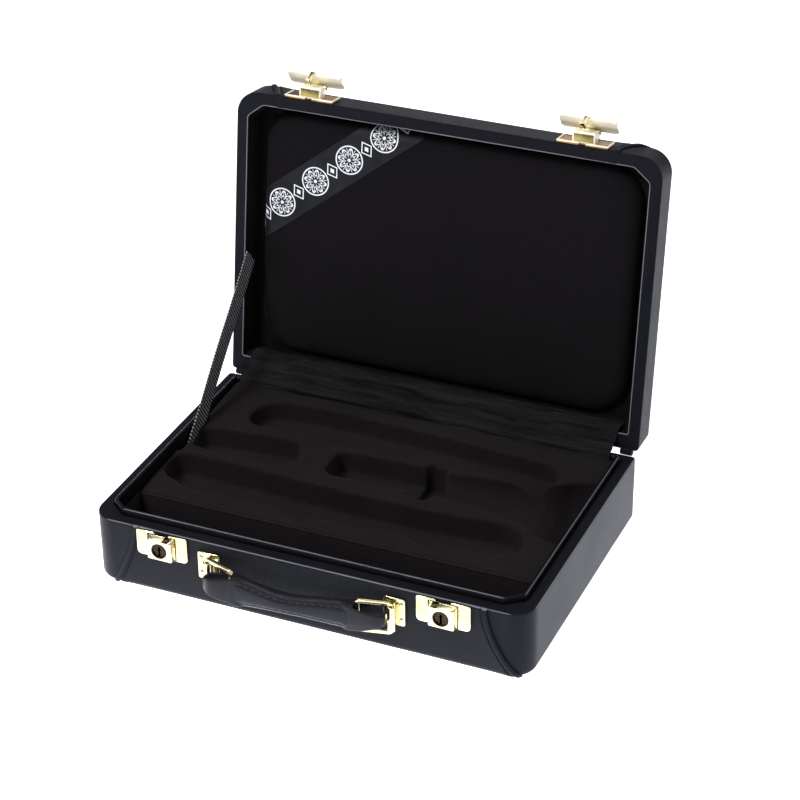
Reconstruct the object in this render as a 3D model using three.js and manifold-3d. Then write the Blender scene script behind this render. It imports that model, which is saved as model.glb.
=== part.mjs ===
// Attache-style clarinet case, shown open: a leather-covered wooden base and lid on two back
// hinges, a plush tray with shaped cavities, gilt lever latches with key locks, and a leather
// handle on two swinging bails.
// Millimetres, +Z up. Origin: the centre of the flat bottom. The front (latches, handle) faces -Y.
// The lid and the hasps are modelled closed and turned open by their groups.

import * as THREE from "three";
import { mergeVertices } from "three/addons/utils/BufferGeometryUtils.js";
import Module from "manifold-3d";

const wasm = await Module();
wasm.setup();

// ---------------------------------------------------------------- driving dimensions
const CASE_W = 330; // outer length, X
const CASE_D = 218.7; // outer depth, Y
const BASE_H = 52.7; // base height to the rim
const LID_H = 27.3; // lid height from rim to top
const RIM_GAP = 0.3; // between the two rims when closed
const CORNER_R = 17; // upright corners at the front
const BACK_R = 3; // and at the hinge side
const LID_LEAN = 3.25; // the lid's back wall leans out by this much at its rim
const EDGE_R = 5; // bottom and top edges
const SKIN = 1.2; // leather
const GAP = 0.3; // between touching pieces
const RIM_W = 8.7; // rim width, outer edge to inner edge
const FLOOR_TOP = 6; // top of the wooden floor
const LIP_OUT = 9.3; // inset of the tongue's outer face
const LIP_T = 2.8; // tongue thickness
const LIP_H = 5; // tongue height above the rim
const OPEN_DEG = 98.1; // lid angle, closed to open
const HINGE_BACK = 4.3; // hinge axis behind the back wall
const HINGE_UP = 0.7; // hinge axis above the base rim
const HINGE_X = 95; // hinge centres
const TRAY_FRONT = -60; // front edge of the plush tray
const TRAY_Z0 = 47.5; // tray surface height at its front edge
const TRAY_RISE = 7 / 157; // and its slope towards the back
const LATCH_X = [-107.9, 104.2]; // latch centres
const LATCH_W = 39.5;
const LOCK_TRAVEL = 5; // sideways travel of the lock slide
const HASP_OPEN = 52; // hasp angle, closed to sprung open
const HASP_AXIS_Z = 67; // closed height of the hasp pin
const HASP_AXIS_K = 7.6; // pin in front of the lid's face
const HASP_Z = [54.6, 69.4]; // closed height range of the hasp's flap
const BAIL_X = [-70.6, 68.0]; // upright bail axes
const BAIL_K = 4.5; // bail axis in front of the face
const BAIL_LEN = 23.5;
const BAIL_REST = [19, 12]; // degrees out from the face
const KNUCKLE_Z = [20.6, 40.2]; // knuckles of the handle plates
const STRAP_W = 18;
const STRAP_T = 1.2;
const PAD_FACE = 12; // lid pad's face above the lid rim plane

const HX = CASE_W / 2,
  HY = CASE_D / 2;
const LID_Z0 = BASE_H + RIM_GAP,
  LID_Z1 = LID_Z0 + LID_H;
const HINGE_Y = HY + HINGE_BACK,
  HINGE_Z = BASE_H + HINGE_UP;
const FRONT = -HY;
const rad = (d) => (d * Math.PI) / 180;

// ---------------------------------------------------------------- solids
const solidOf = (geometry) => {
  const flat = geometry.index ? geometry.toNonIndexed() : geometry;
  const g = mergeVertices(
    new THREE.BufferGeometry().setAttribute(
      "position",
      flat.getAttribute("position"),
    ),
    1e-4,
  );
  return new wasm.Manifold(
    new wasm.Mesh({
      numProp: 3,
      vertProperties: new Float32Array(g.getAttribute("position").array),
      triVerts: new Uint32Array(g.index.array),
    }),
  );
};
const geometryOf = (solid) => {
  const m = solid.getMesh();
  const n = m.numVert;
  const v = new Float32Array(n * 3);
  for (let i = 0; i < n; i++)
    for (let k = 0; k < 3; k++)
      v[3 * i + k] = m.vertProperties[i * m.numProp + k];
  const g = new THREE.BufferGeometry()
    .setAttribute("position", new THREE.BufferAttribute(v, 3))
    .setIndex(new THREE.BufferAttribute(new Uint32Array(m.triVerts), 1));
  g.computeVertexNormals();
  return g;
};
const union = (...s) => s.reduce((a, b) => a.add(b));
const cut = (a, ...s) => s.reduce((r, b) => r.subtract(b), a);

// A stack of rings with the same number of points, each counter-clockwise from above.
const loft = (rings) => {
  const n = rings[0].length,
    pos = [];
  const tri = (a, b, c) => pos.push(...a, ...b, ...c);
  for (let i = 0; i + 1 < rings.length; i++)
    for (let j = 0; j < n; j++) {
      const a = rings[i][j],
        b = rings[i][(j + 1) % n],
        c = rings[i + 1][(j + 1) % n],
        d = rings[i + 1][j];
      tri(a, b, c);
      tri(a, c, d);
    }
  const lo = rings[0],
    hi = rings[rings.length - 1];
  for (let j = 1; j + 1 < n; j++) {
    tri(lo[0], lo[j + 1], lo[j]);
    tri(hi[0], hi[j], hi[j + 1]);
  }
  return solidOf(
    new THREE.BufferGeometry().setAttribute(
      "position",
      new THREE.BufferAttribute(new Float32Array(pos), 3),
    ),
  );
};
const CORNER_SEG = 5;
// Rounded rectangle with half sizes hx, hy.
const arcRing = (hx, hy, r, z, cx = 0, cy = 0, seg = CORNER_SEG) => {
  const out = [];
  [
    [1, 1, 0],
    [-1, 1, 90],
    [-1, -1, 180],
    [1, -1, 270],
  ].forEach(([sx, sy, a0]) => {
    for (let i = 0; i <= seg; i++) {
      const a = rad(a0 + (90 * i) / seg);
      out.push([
        cx + sx * (hx - r) + r * Math.cos(a),
        cy + sy * (hy - r) + r * Math.sin(a),
        z,
      ]);
    }
  });
  return out;
};
// The case's plan at an inset from its outer face; out moves its back edge outwards.
const planRing = (inset, z, out = 0) => {
  const pts = [];
  [
    [1, 1, 0],
    [-1, 1, 90],
    [-1, -1, 180],
    [1, -1, 270],
  ].forEach(([sx, sy, a0]) => {
    const r = sy > 0 ? Math.max(BACK_R - inset, 1.2) : Math.max(CORNER_R - inset, 3);
    for (let i = 0; i <= CORNER_SEG; i++) {
      const a = rad(a0 + (90 * i) / CORNER_SEG);
      pts.push([
        sx * (HX - inset - r) + r * Math.cos(a),
        sy * (HY - inset - r) + r * Math.sin(a) + (sy > 0 ? out : 0),
        z,
      ]);
    }
  });
  return pts;
};
// The same with the clipped front corners and the square back corners of the tongue and the
// linings.
const clipRing = (inset, z) => {
  const hx = HX - inset,
    hy = HY - inset;
  const nx = 0.621,
    ny = 0.784;
  const d = 7.45 + (LIP_OUT - inset) * (nx + ny - 1);
  const cx = d / nx,
    cy = d / ny,
    s = 1.6;
  const ux = cx / Math.hypot(cx, cy),
    uy = cy / Math.hypot(cx, cy);
  // one corner, from the end wall round to the long wall, first quadrant
  const q = [
    [hx, hy - cy - s],
    [hx - 0.3 * s, hy - cy + 0.35 * s * uy],
    [hx - s * ux, hy - cy + s * uy],
    [hx - cx + s * ux, hy - s * uy],
    [hx - cx + 0.35 * s * ux, hy - 0.3 * s],
    [hx - cx - s, hy],
  ];
  const b = [];
  for (let i = 0; i <= 5; i++)
    b.push([hx - 1.5 + 1.5 * Math.cos(rad(18 * i)), hy - 1.5 + 1.5 * Math.sin(rad(18 * i))]);
  const out = [];
  const put = (l, sx, sy) => l.forEach(([x, y]) => out.push([sx * x, sy * y, z]));
  put(b, 1, 1);
  put([...b].reverse(), -1, 1);
  put(q, -1, -1);
  put([...q].reverse(), 1, -1);
  return out;
};
const shapeOf = (pts) =>
  new THREE.Shape(pts.map(([x, y]) => new THREE.Vector2(x, y)));
const prismZ = (pts, z0, z1, holes = []) => {
  const s = shapeOf(pts);
  holes.forEach((h) => s.holes.push(new THREE.Path(h.map(([x, y]) => new THREE.Vector2(x, y)))));
  return solidOf(
    new THREE.ExtrudeGeometry(s, {
      depth: z1 - z0,
      bevelEnabled: false,
      steps: 1,
    }).translate(0, 0, z0),
  );
};
// Outline in (x, z), from y0 to y1.
const prismY = (pts, y0, y1) =>
  solidOf(
    new THREE.ExtrudeGeometry(shapeOf(pts), {
      depth: y1 - y0,
      bevelEnabled: false,
      steps: 1,
    })
      .rotateX(Math.PI / 2)
      .translate(0, y1, 0),
  );
// Outline in (y, z), from x0 to x1.
const prismX = (pts, x0, x1) =>
  solidOf(
    new THREE.ExtrudeGeometry(shapeOf(pts), {
      depth: x1 - x0,
      bevelEnabled: false,
      steps: 1,
    })
      .applyMatrix4(
        new THREE.Matrix4().makeBasis(
          new THREE.Vector3(0, 1, 0),
          new THREE.Vector3(0, 0, 1),
          new THREE.Vector3(1, 0, 0),
        ),
      )
      .translate(x0, 0, 0),
  );
const box = (x0, x1, y0, y1, z0, z1) =>
  solidOf(
    new THREE.BoxGeometry(x1 - x0, y1 - y0, z1 - z0).translate(
      (x0 + x1) / 2,
      (y0 + y1) / 2,
      (z0 + z1) / 2,
    ),
  );
const rodX = (r, x0, x1, y, z, seg = 14) =>
  solidOf(
    new THREE.CylinderGeometry(r, r, x1 - x0, seg)
      .rotateZ(Math.PI / 2)
      .translate((x0 + x1) / 2, y, z),
  );
const rodY = (r, y0, y1, x, z, seg = 20, r2 = r) =>
  solidOf(
    new THREE.CylinderGeometry(r2, r, y1 - y0, seg).translate(
      x,
      (y0 + y1) / 2,
      z,
    ),
  );
const rodZ = (r, z0, z1, x, y, seg = 14) =>
  solidOf(
    new THREE.CylinderGeometry(r, r, z1 - z0, seg)
      .rotateX(Math.PI / 2)
      .translate(x, y, (z0 + z1) / 2),
  );
// Outline in (x, z) of a plate with rounded corners; which of the four corners are rounded is
// given as radii for [low left, low right, high right, high left].
const plateOutline = (x0, x1, z0, z1, [ll, lr, hr, hl]) => {
  const out = [];
  const arc = (cx, cz, r, a0) => {
    if (r <= 0) {
      out.push([cx, cz]);
      return;
    }
    for (let i = 0; i <= 4; i++) {
      const a = rad(a0 + 22.5 * i);
      out.push([cx + r * Math.cos(a), cz + r * Math.sin(a)]);
    }
  };
  arc(x0 + ll, z0 + ll, ll, 180);
  arc(x1 - lr, z0 + lr, lr, 270);
  arc(x1 - hr, z1 - hr, hr, 0);
  arc(x0 + hl, z1 - hl, hl, 90);
  return out;
};

// ---------------------------------------------------------------- meshes
const LOOK = {
  leather: { color: 0x202127, roughness: 0.45, metalness: 0 },
  velvet: { color: 0x17131a, roughness: 1, metalness: 0 },
  wood: { color: 0x8c6a44, roughness: 0.8, metalness: 0 },
  gilt: { color: 0xd9b968, roughness: 0.2, metalness: 1 },
  barrel: { color: 0x26221f, roughness: 0.4, metalness: 0.8 },
  webbing: { color: 0x1b1b1d, roughness: 0.9, metalness: 0 },
  satin: { color: 0x24252b, roughness: 0.35, metalness: 0 },
  steel: { color: 0x9a9a9a, roughness: 0.3, metalness: 1 },
};
const piece = (name, solid, look) => {
  const m = new THREE.Mesh(
    solid.isBufferGeometry ? solid : geometryOf(solid),
    new THREE.MeshStandardMaterial(LOOK[look]),
  );
  m.name = name;
  return m;
};
const caseGroup = new THREE.Group();
// The lid's parts are modelled closed and turned back about the hinge axis.
const lidTurn = new THREE.Group();
lidTurn.position.set(0, HINGE_Y, HINGE_Z);
lidTurn.rotation.x = -rad(OPEN_DEG);
const lid = new THREE.Group();
lid.position.set(0, -HINGE_Y, -HINGE_Z);
lidTurn.add(lid);
caseGroup.add(lidTurn);

// ---------------------------------------------------------------- base: leather covers
// Seams between the middle leather and the end caps: their x at a height z on the base.
const baseSeamL = (z) =>
  -(130.7 + 20 * Math.pow(Math.max(0, (BASE_H - z) / BASE_H), 1.45));
const baseSeamR = (z) =>
  134.8 + 26 * Math.pow(Math.max(0, (BASE_H - z) / BASE_H), 1.8);
const lidSeamL = (z) =>
  -(134.5 + 17 * Math.pow(Math.max(0, (z - LID_Z0) / LID_H), 1.3));
const lidSeamR = (z) =>
  132 + 18 * Math.pow(Math.max(0, (z - LID_Z0) / LID_H), 3.2);
// Everything outside a seam, as a block the width of the case.
const beyondSeam = (seam, side, z0, z1, off) => {
  const pts = [];
  for (let i = 0; i <= 7; i++) {
    const z = z0 + ((z1 - z0) * i) / 7;
    pts.push([seam(z) + side * off, z]);
  }
  pts[0][1] -= 3;
  pts[7][1] += 3;
  const far = side * (HX + 5);
  const out = [...pts, [far, z1 + 3], [far, z0 - 3]];
  return prismY(side > 0 ? out.reverse() : out, -HY - 5, HY + 5);
};

const baseOuter = loft([
  planRing(EDGE_R, 0),
  planRing(EDGE_R * 0.5, EDGE_R * 0.134),
  planRing(EDGE_R * 0.134, EDGE_R * 0.5),
  planRing(0, EDGE_R),
  planRing(0, BASE_H),
]);
const baseSkinHollow = loft([
  planRing(EDGE_R + 0.3, SKIN),
  planRing(SKIN + 1.4, SKIN + 1.4),
  planRing(SKIN, EDGE_R + 0.3),
  planRing(SKIN, BASE_H - SKIN),
  clipRing(RIM_W, BASE_H - SKIN),
  clipRing(RIM_W, BASE_H + 1),
]);
// Pockets behind the latches, in the leather and in the wood.
const latchPocket = (cx) => box(cx - 15, cx + 15, FRONT - 1, FRONT + 5.5, 32.5, 47.5);
const baseSkin = cut(
  baseOuter,
  baseSkinHollow,
  loft([arcRing(HX - 14, HY - 14, 4, -1), arcRing(HX - 14, HY - 14, 4, SKIN + 0.2)]),
  latchPocket(LATCH_X[0]),
  latchPocket(LATCH_X[1]),
);
const baseEndL = (o) => beyondSeam(baseSeamL, -1, 0, BASE_H, o);
const baseEndR = (o) => beyondSeam(baseSeamR, 1, 0, BASE_H, o);
caseGroup.add(
  piece("base_cover_left", baseSkin.intersect(baseEndL(0.15)), "leather"),
  piece("base_cover_right", baseSkin.intersect(baseEndR(0.15)), "leather"),
);
const baseMiddle = cut(baseSkin, baseEndL(-0.15), baseEndR(-0.15));
caseGroup.add(
  piece("base_cover_front", baseMiddle.intersect(box(-HX, HX, -HY - 1, 0, -1, BASE_H + 1)), "leather"),
  piece("base_cover_back", baseMiddle.intersect(box(-HX, HX, 0, HY + 1, -1, BASE_H + 1)), "leather"),
  piece(
    "base_bottom_cover",
    loft([arcRing(HX - 14.3, HY - 14.3, 4, 0), arcRing(HX - 14.3, HY - 14.3, 4, SKIN)]),
    "leather",
  ),
);

// ---------------------------------------------------------------- base: wooden shell
const WOOD_IN = SKIN + GAP;
caseGroup.add(
  piece(
    "base_shell",
    cut(
      loft([
        planRing(EDGE_R + 1.1, WOOD_IN),
        planRing(WOOD_IN + 1.2, WOOD_IN + 1.6),
        planRing(WOOD_IN, EDGE_R + 0.8),
        planRing(WOOD_IN, BASE_H - WOOD_IN),
      ]),
      loft([clipRing(RIM_W, FLOOR_TOP), clipRing(RIM_W, BASE_H + 1)]),
      latchPocket(LATCH_X[0]),
      latchPocket(LATCH_X[1]),
    ),
    "wood",
  ),
);
// The tongue: a leather-bound board frame that stands inside the walls and proud of the rim.
const LIP_IN = LIP_OUT + LIP_T;
caseGroup.add(
  piece(
    "base_lip",
    cut(
      loft([
        clipRing(LIP_OUT, FLOOR_TOP + GAP),
        clipRing(LIP_OUT, BASE_H + LIP_H - 0.6),
        clipRing(LIP_OUT + 0.5, BASE_H + LIP_H),
      ]),
      loft([clipRing(LIP_IN, FLOOR_TOP - 1), clipRing(LIP_IN, BASE_H + LIP_H + 1)]),
    ),
    "leather",
  ),
);

// ---------------------------------------------------------------- plush tray
const trayTop = (y) => TRAY_Z0 + (y - TRAY_FRONT) * TRAY_RISE;
const TRAY_IN = LIP_IN + GAP; // inset of the tray's sides
const TRAY_BACK = HY - TRAY_IN;
// Cavity outlines in plan, each counter-clockwise.
const CAV_UPPER = [
  [-121.5, 57], [-117, 50], [-108, 47.6], [-90, 48.5], [-73.8, 48.5], [-60, 44.2],
  [-40.8, 44], [-5.9, 45.4], [16.3, 47.6], [61.8, 48.6], [92.2, 47], [110, 47.6],
  [119, 51.5], [123, 59], [121, 68], [113, 74.5], [95, 77], [60, 79], [20, 82],
  [-20, 83.5], [-60, 84.5], [-92, 84], [-112, 79], [-120, 69],
];
const CAV_MOUTH = [
  [-148, 12], [-142, 7.5], [-128, 5.2], [-100, 3.6], [-80, 3.4], [-70, 7], [-66, 15],
  [-66, 27], [-70, 35], [-80, 38.2], [-100, 37], [-128, 34.2], [-142, 31.5], [-148, 27],
];
const CAV_BARREL = [
  [-39, 14], [-35, 9], [-26, 7.8], [0, 8.2], [25, 8.6], [34, 9.4], [46, 9.6],
  [46, 39], [34, 40.4], [25, 40.6], [0, 40], [-26, 39.4], [-35, 38], [-39, 33],
];
const CAV_LOWER = [
  [-149, -28], [-143.3, -34.3], [-134.2, -38.5], [-126, -42.6], [-113.4, -45.4],
  [-97, -44.4], [-85, -45.6], [-69.5, -44], [-57.7, -43.2], [-48, -45], [-40.5, -51],
  [-31.5, -54.6], [-23, -53.2], [-17, -46], [-8, -43], [5.5, -45.6], [14.2, -45.2],
  [29, -41.8], [47.8, -42.4], [56.6, -46.6], [65, -51], [74, -52.2], [83, -47],
  [93, -43.4], [104, -41.8], [114, -39], [125, -33.6], [129, -25], [125, -15],
  [117.7, -8], [106, -4.8], [95, -5.4], [60, -8.4], [20, -8.8], [-30, -8], [-60, -6.6],
  [-90, -5.6], [-120, -4.6], [-142, -5], [-149, -11],
];
// The bell's cavity is a flared half round about an axis along X.
const BELL_Y = 25,
  BELL_Z = 50.6;
const BELL_PROFILE = [
  [0, 42], [14.6, 42], [15.4, 54], [18.1, 78.5], [22.5, 103.4], [24.8, 118], [29.2, 126.6],
  [35.6, 134.8], [38.4, 143.6], [39.4, 151], [39.4, 158], [0, 158],
];
const bell = solidOf(
  new THREE.LatheGeometry(
    BELL_PROFILE.map(([r, x]) => new THREE.Vector2(r, x)),
    24,
  )
    .rotateZ(-Math.PI / 2)
    .translate(0, BELL_Y, BELL_Z),
);
const trayBody = loft([
  clipRing(TRAY_IN, FLOOR_TOP + GAP),
  clipRing(TRAY_IN, 60),
]).intersect(
  prismX(
    [
      [TRAY_FRONT, 0],
      [TRAY_BACK + 1, 0],
      [TRAY_BACK + 1, trayTop(TRAY_BACK + 1)],
      [TRAY_FRONT + 3, trayTop(TRAY_FRONT + 3)],
      [TRAY_FRONT + 0.8, trayTop(TRAY_FRONT) - 0.8],
      [TRAY_FRONT, trayTop(TRAY_FRONT) - 3],
    ],
    -HX,
    HX,
  ),
);
const STRAP_X = -(HX - TRAY_IN - 0.9); // the strap runs inside the left wall
caseGroup.add(
  piece(
    "tray_insert",
    cut(
      trayBody,
      prismZ(CAV_UPPER, 36, 70),
      prismZ(CAV_MOUTH, 32, 70),
      prismZ(CAV_BARREL, 32, 70),
      prismZ([[29, 6], [45, 6], [45, 43], [29, 43]], 25, 70),
      prismZ(CAV_LOWER, 29, 70),
      bell,
      box(-HX, STRAP_X + 2.2, -4, 48, 20, 70),
    ),
    "velvet",
  ),
);
// The trough in front of the tray, for small things: a velvet-lined tub.
caseGroup.add(
  piece(
    "trough_liner",
    cut(
      loft([clipRing(TRAY_IN, FLOOR_TOP + GAP), clipRing(TRAY_IN, 46)]).intersect(
        box(-HX, HX, -HY, TRAY_FRONT - GAP, 0, 46),
      ),
      loft([clipRing(TRAY_IN + 1.6, FLOOR_TOP + GAP + 2), clipRing(TRAY_IN + 1.6, 50)]).intersect(
        box(-HX, HX, -HY, TRAY_FRONT - GAP - 1.6, 0, 50),
      ),
    ),
    "velvet",
  ),
);

// ---------------------------------------------------------------- lid
const lidRing = (inset, z) => planRing(inset, z, (LID_LEAN * (LID_Z1 - z)) / LID_H);
const lidOuter = loft([
  lidRing(0, LID_Z0),
  lidRing(0, LID_Z1 - EDGE_R),
  lidRing(EDGE_R * 0.134, LID_Z1 - EDGE_R * 0.5),
  lidRing(EDGE_R * 0.5, LID_Z1 - EDGE_R * 0.134),
  lidRing(EDGE_R, LID_Z1),
]);
const lidSkinHollow = loft([
  clipRing(RIM_W, LID_Z0 - 1),
  clipRing(RIM_W, LID_Z0 + SKIN),
  lidRing(SKIN, LID_Z0 + SKIN),
  lidRing(SKIN, LID_Z1 - EDGE_R - 0.3),
  lidRing(SKIN + 1.4, LID_Z1 - SKIN - 1.4),
  lidRing(EDGE_R + 0.3, LID_Z1 - SKIN),
]);
const lidSkin = cut(lidOuter, lidSkinHollow);
// Room for the hinge knuckles in the lid's back rim, and the padded ears beside the cloth, which
// roll on the hinge line.
const knuckleRoom = [-HINGE_X, HINGE_X].map((cx) => rodX(3.5, cx - 23.6, cx + 23.6, HINGE_Y, HINGE_Z));
const ear = (s, r, a, b) => rodX(r, Math.min(s * a, s * b), Math.max(s * a, s * b), HINGE_Y, HINGE_Z);
const lidEndL = (o) => beyondSeam(lidSeamL, -1, LID_Z0, LID_Z1, o);
const lidEndR = (o) => beyondSeam(lidSeamR, 1, LID_Z0, LID_Z1, o);
lid.add(
  piece("lid_cover_left", lidSkin.intersect(lidEndL(0.15)).add(ear(-1, 3.1, 151.5, 161)), "leather"),
  piece("lid_cover_right", lidSkin.intersect(lidEndR(0.15)).add(ear(1, 3.1, 151.5, 161)), "leather"),
  piece(
    "lid_cover_centre",
    cut(lidSkin, lidEndL(-0.15), lidEndR(-0.15), ...knuckleRoom),
    "leather",
  ),
);
const LID_CEIL = LID_Z1 - 5.5;
lid.add(
  piece(
    "lid_shell",
    cut(
      loft([
        lidRing(WOOD_IN, LID_Z0 + WOOD_IN),
        lidRing(WOOD_IN, LID_Z1 - EDGE_R - 0.8),
        lidRing(WOOD_IN + 1.2, LID_Z1 - WOOD_IN - 1.6),
        lidRing(EDGE_R + 1.1, LID_Z1 - WOOD_IN),
      ]),
      loft([clipRing(RIM_W, LID_Z0 - 1), clipRing(RIM_W, LID_CEIL)]),
      ...knuckleRoom,
      ear(-1, 3.5, 151, 161.5),
      ear(1, 3.5, 151, 161.5),
    ),
    "wood",
  ),
  piece(
    "lid_lining",
    cut(
      loft([clipRing(RIM_W + GAP, LID_Z0 + 5.6), clipRing(RIM_W + GAP, LID_CEIL - GAP)]),
      loft([clipRing(RIM_W + GAP + 1.4, LID_Z0), clipRing(RIM_W + GAP + 1.4, LID_CEIL + 1)]),
    ),
    "velvet",
  ),
);
// The padded panel, and the satin ribbon stretched across its front left corner.
const PAD_Z = LID_Z0 + PAD_FACE;
lid.add(
  piece(
    "lid_panel",
    loft([
      arcRing(137, 86.5, 25, PAD_Z),
      arcRing(143, 91.5, 26, PAD_Z + 1.4),
      arcRing(147.5, 95, 26, PAD_Z + 4.6),
      arcRing(148.5, 95.8, 24, LID_CEIL - GAP),
    ]),
    "velvet",
  ),
);
const ribbonAngle = rad(-37.9);
const ribbonDir = [Math.cos(ribbonAngle), Math.sin(ribbonAngle)];
const ribbonNor = [-ribbonDir[1], ribbonDir[0]];
const ribbonAt = (s, t) => [
  -92.3 + ribbonDir[0] * s + ribbonNor[0] * t,
  -54.8 + ribbonDir[1] * s + ribbonNor[1] * t,
];
lid.add(
  piece(
    "lid_ribbon",
    prismZ(
      [ribbonAt(-70, -15.7), ribbonAt(-70, 15.7), ribbonAt(66, 15.7), ribbonAt(66, -15.7)].reverse(),
      PAD_Z - GAP - 0.8,
      PAD_Z - GAP,
    ).intersect(loft([clipRing(12.2, PAD_Z - 3), clipRing(12.2, PAD_Z)])),
    "satin",
  ),
);

// ---------------------------------------------------------------- hinges
const leafRivets = (x0, y, zs) =>
  [-17, 0, 17].map((dx) => rodY(1.9, y, y + 0.8, x0 + dx, zs, 10, 1.1));
[
  ["left", -HINGE_X],
  ["right", HINGE_X],
].forEach(([side, cx]) => {
  const y0 = HY + GAP,
    y1 = y0 + 1.4;
  const bore = rodX(1.65, cx - 30, cx + 30, HINGE_Y, HINGE_Z);
  caseGroup.add(
    piece(
      "hinge_" + side + "_base_leaf",
      cut(
        union(
          prismY(plateOutline(cx - 22.5, cx + 22.5, 33, HINGE_Z - 0.8, [3, 3, 0, 0]), y0, y1),
          rodX(3.1, cx - 22.5, cx - 8, HINGE_Y, HINGE_Z),
          rodX(3.1, cx + 8, cx + 22.5, HINGE_Y, HINGE_Z),
          ...leafRivets(cx, y1, 39.5),
        ),
        box(cx - 8, cx + 8, HY, HY + 12, HINGE_Z - 3.7, HINGE_Z + 6),
        bore,
      ),
      "gilt",
    ),
    piece(
      "hinge_" + side + "_pin",
      rodX(1.3, cx - 23.2, cx + 23.2, HINGE_Y, HINGE_Z, 12),
      "steel",
    ),
  );
  // the lid leaf lies on the leaning back wall
  const lean = (s) =>
    s
      .translate([0, -y0, -LID_Z1])
      .rotate([(Math.atan(LID_LEAN / LID_H) * 180) / Math.PI, 0, 0])
      .translate([0, y0, LID_Z1]);
  lid.add(
    piece(
      "hinge_" + side + "_lid_leaf",
      cut(
        union(
          lean(
            union(
              prismY(plateOutline(cx - 22.5, cx + 22.5, HINGE_Z + 0.4, 73.5, [0, 0, 3, 3]), y0, y1),
              ...leafRivets(cx, y1, 67.5),
            ),
          ),
          rodX(3.1, cx - 7.6, cx + 7.6, HINGE_Y, HINGE_Z),
        ),
        box(cx - 24, cx - 7.6, HY, HY + 12, HINGE_Z - 6, HINGE_Z + 3.7),
        box(cx + 7.6, cx + 24, HY, HY + 12, HINGE_Z - 6, HINGE_Z + 3.7),
        bore,
      ),
      "gilt",
    ),
  );
});

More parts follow.
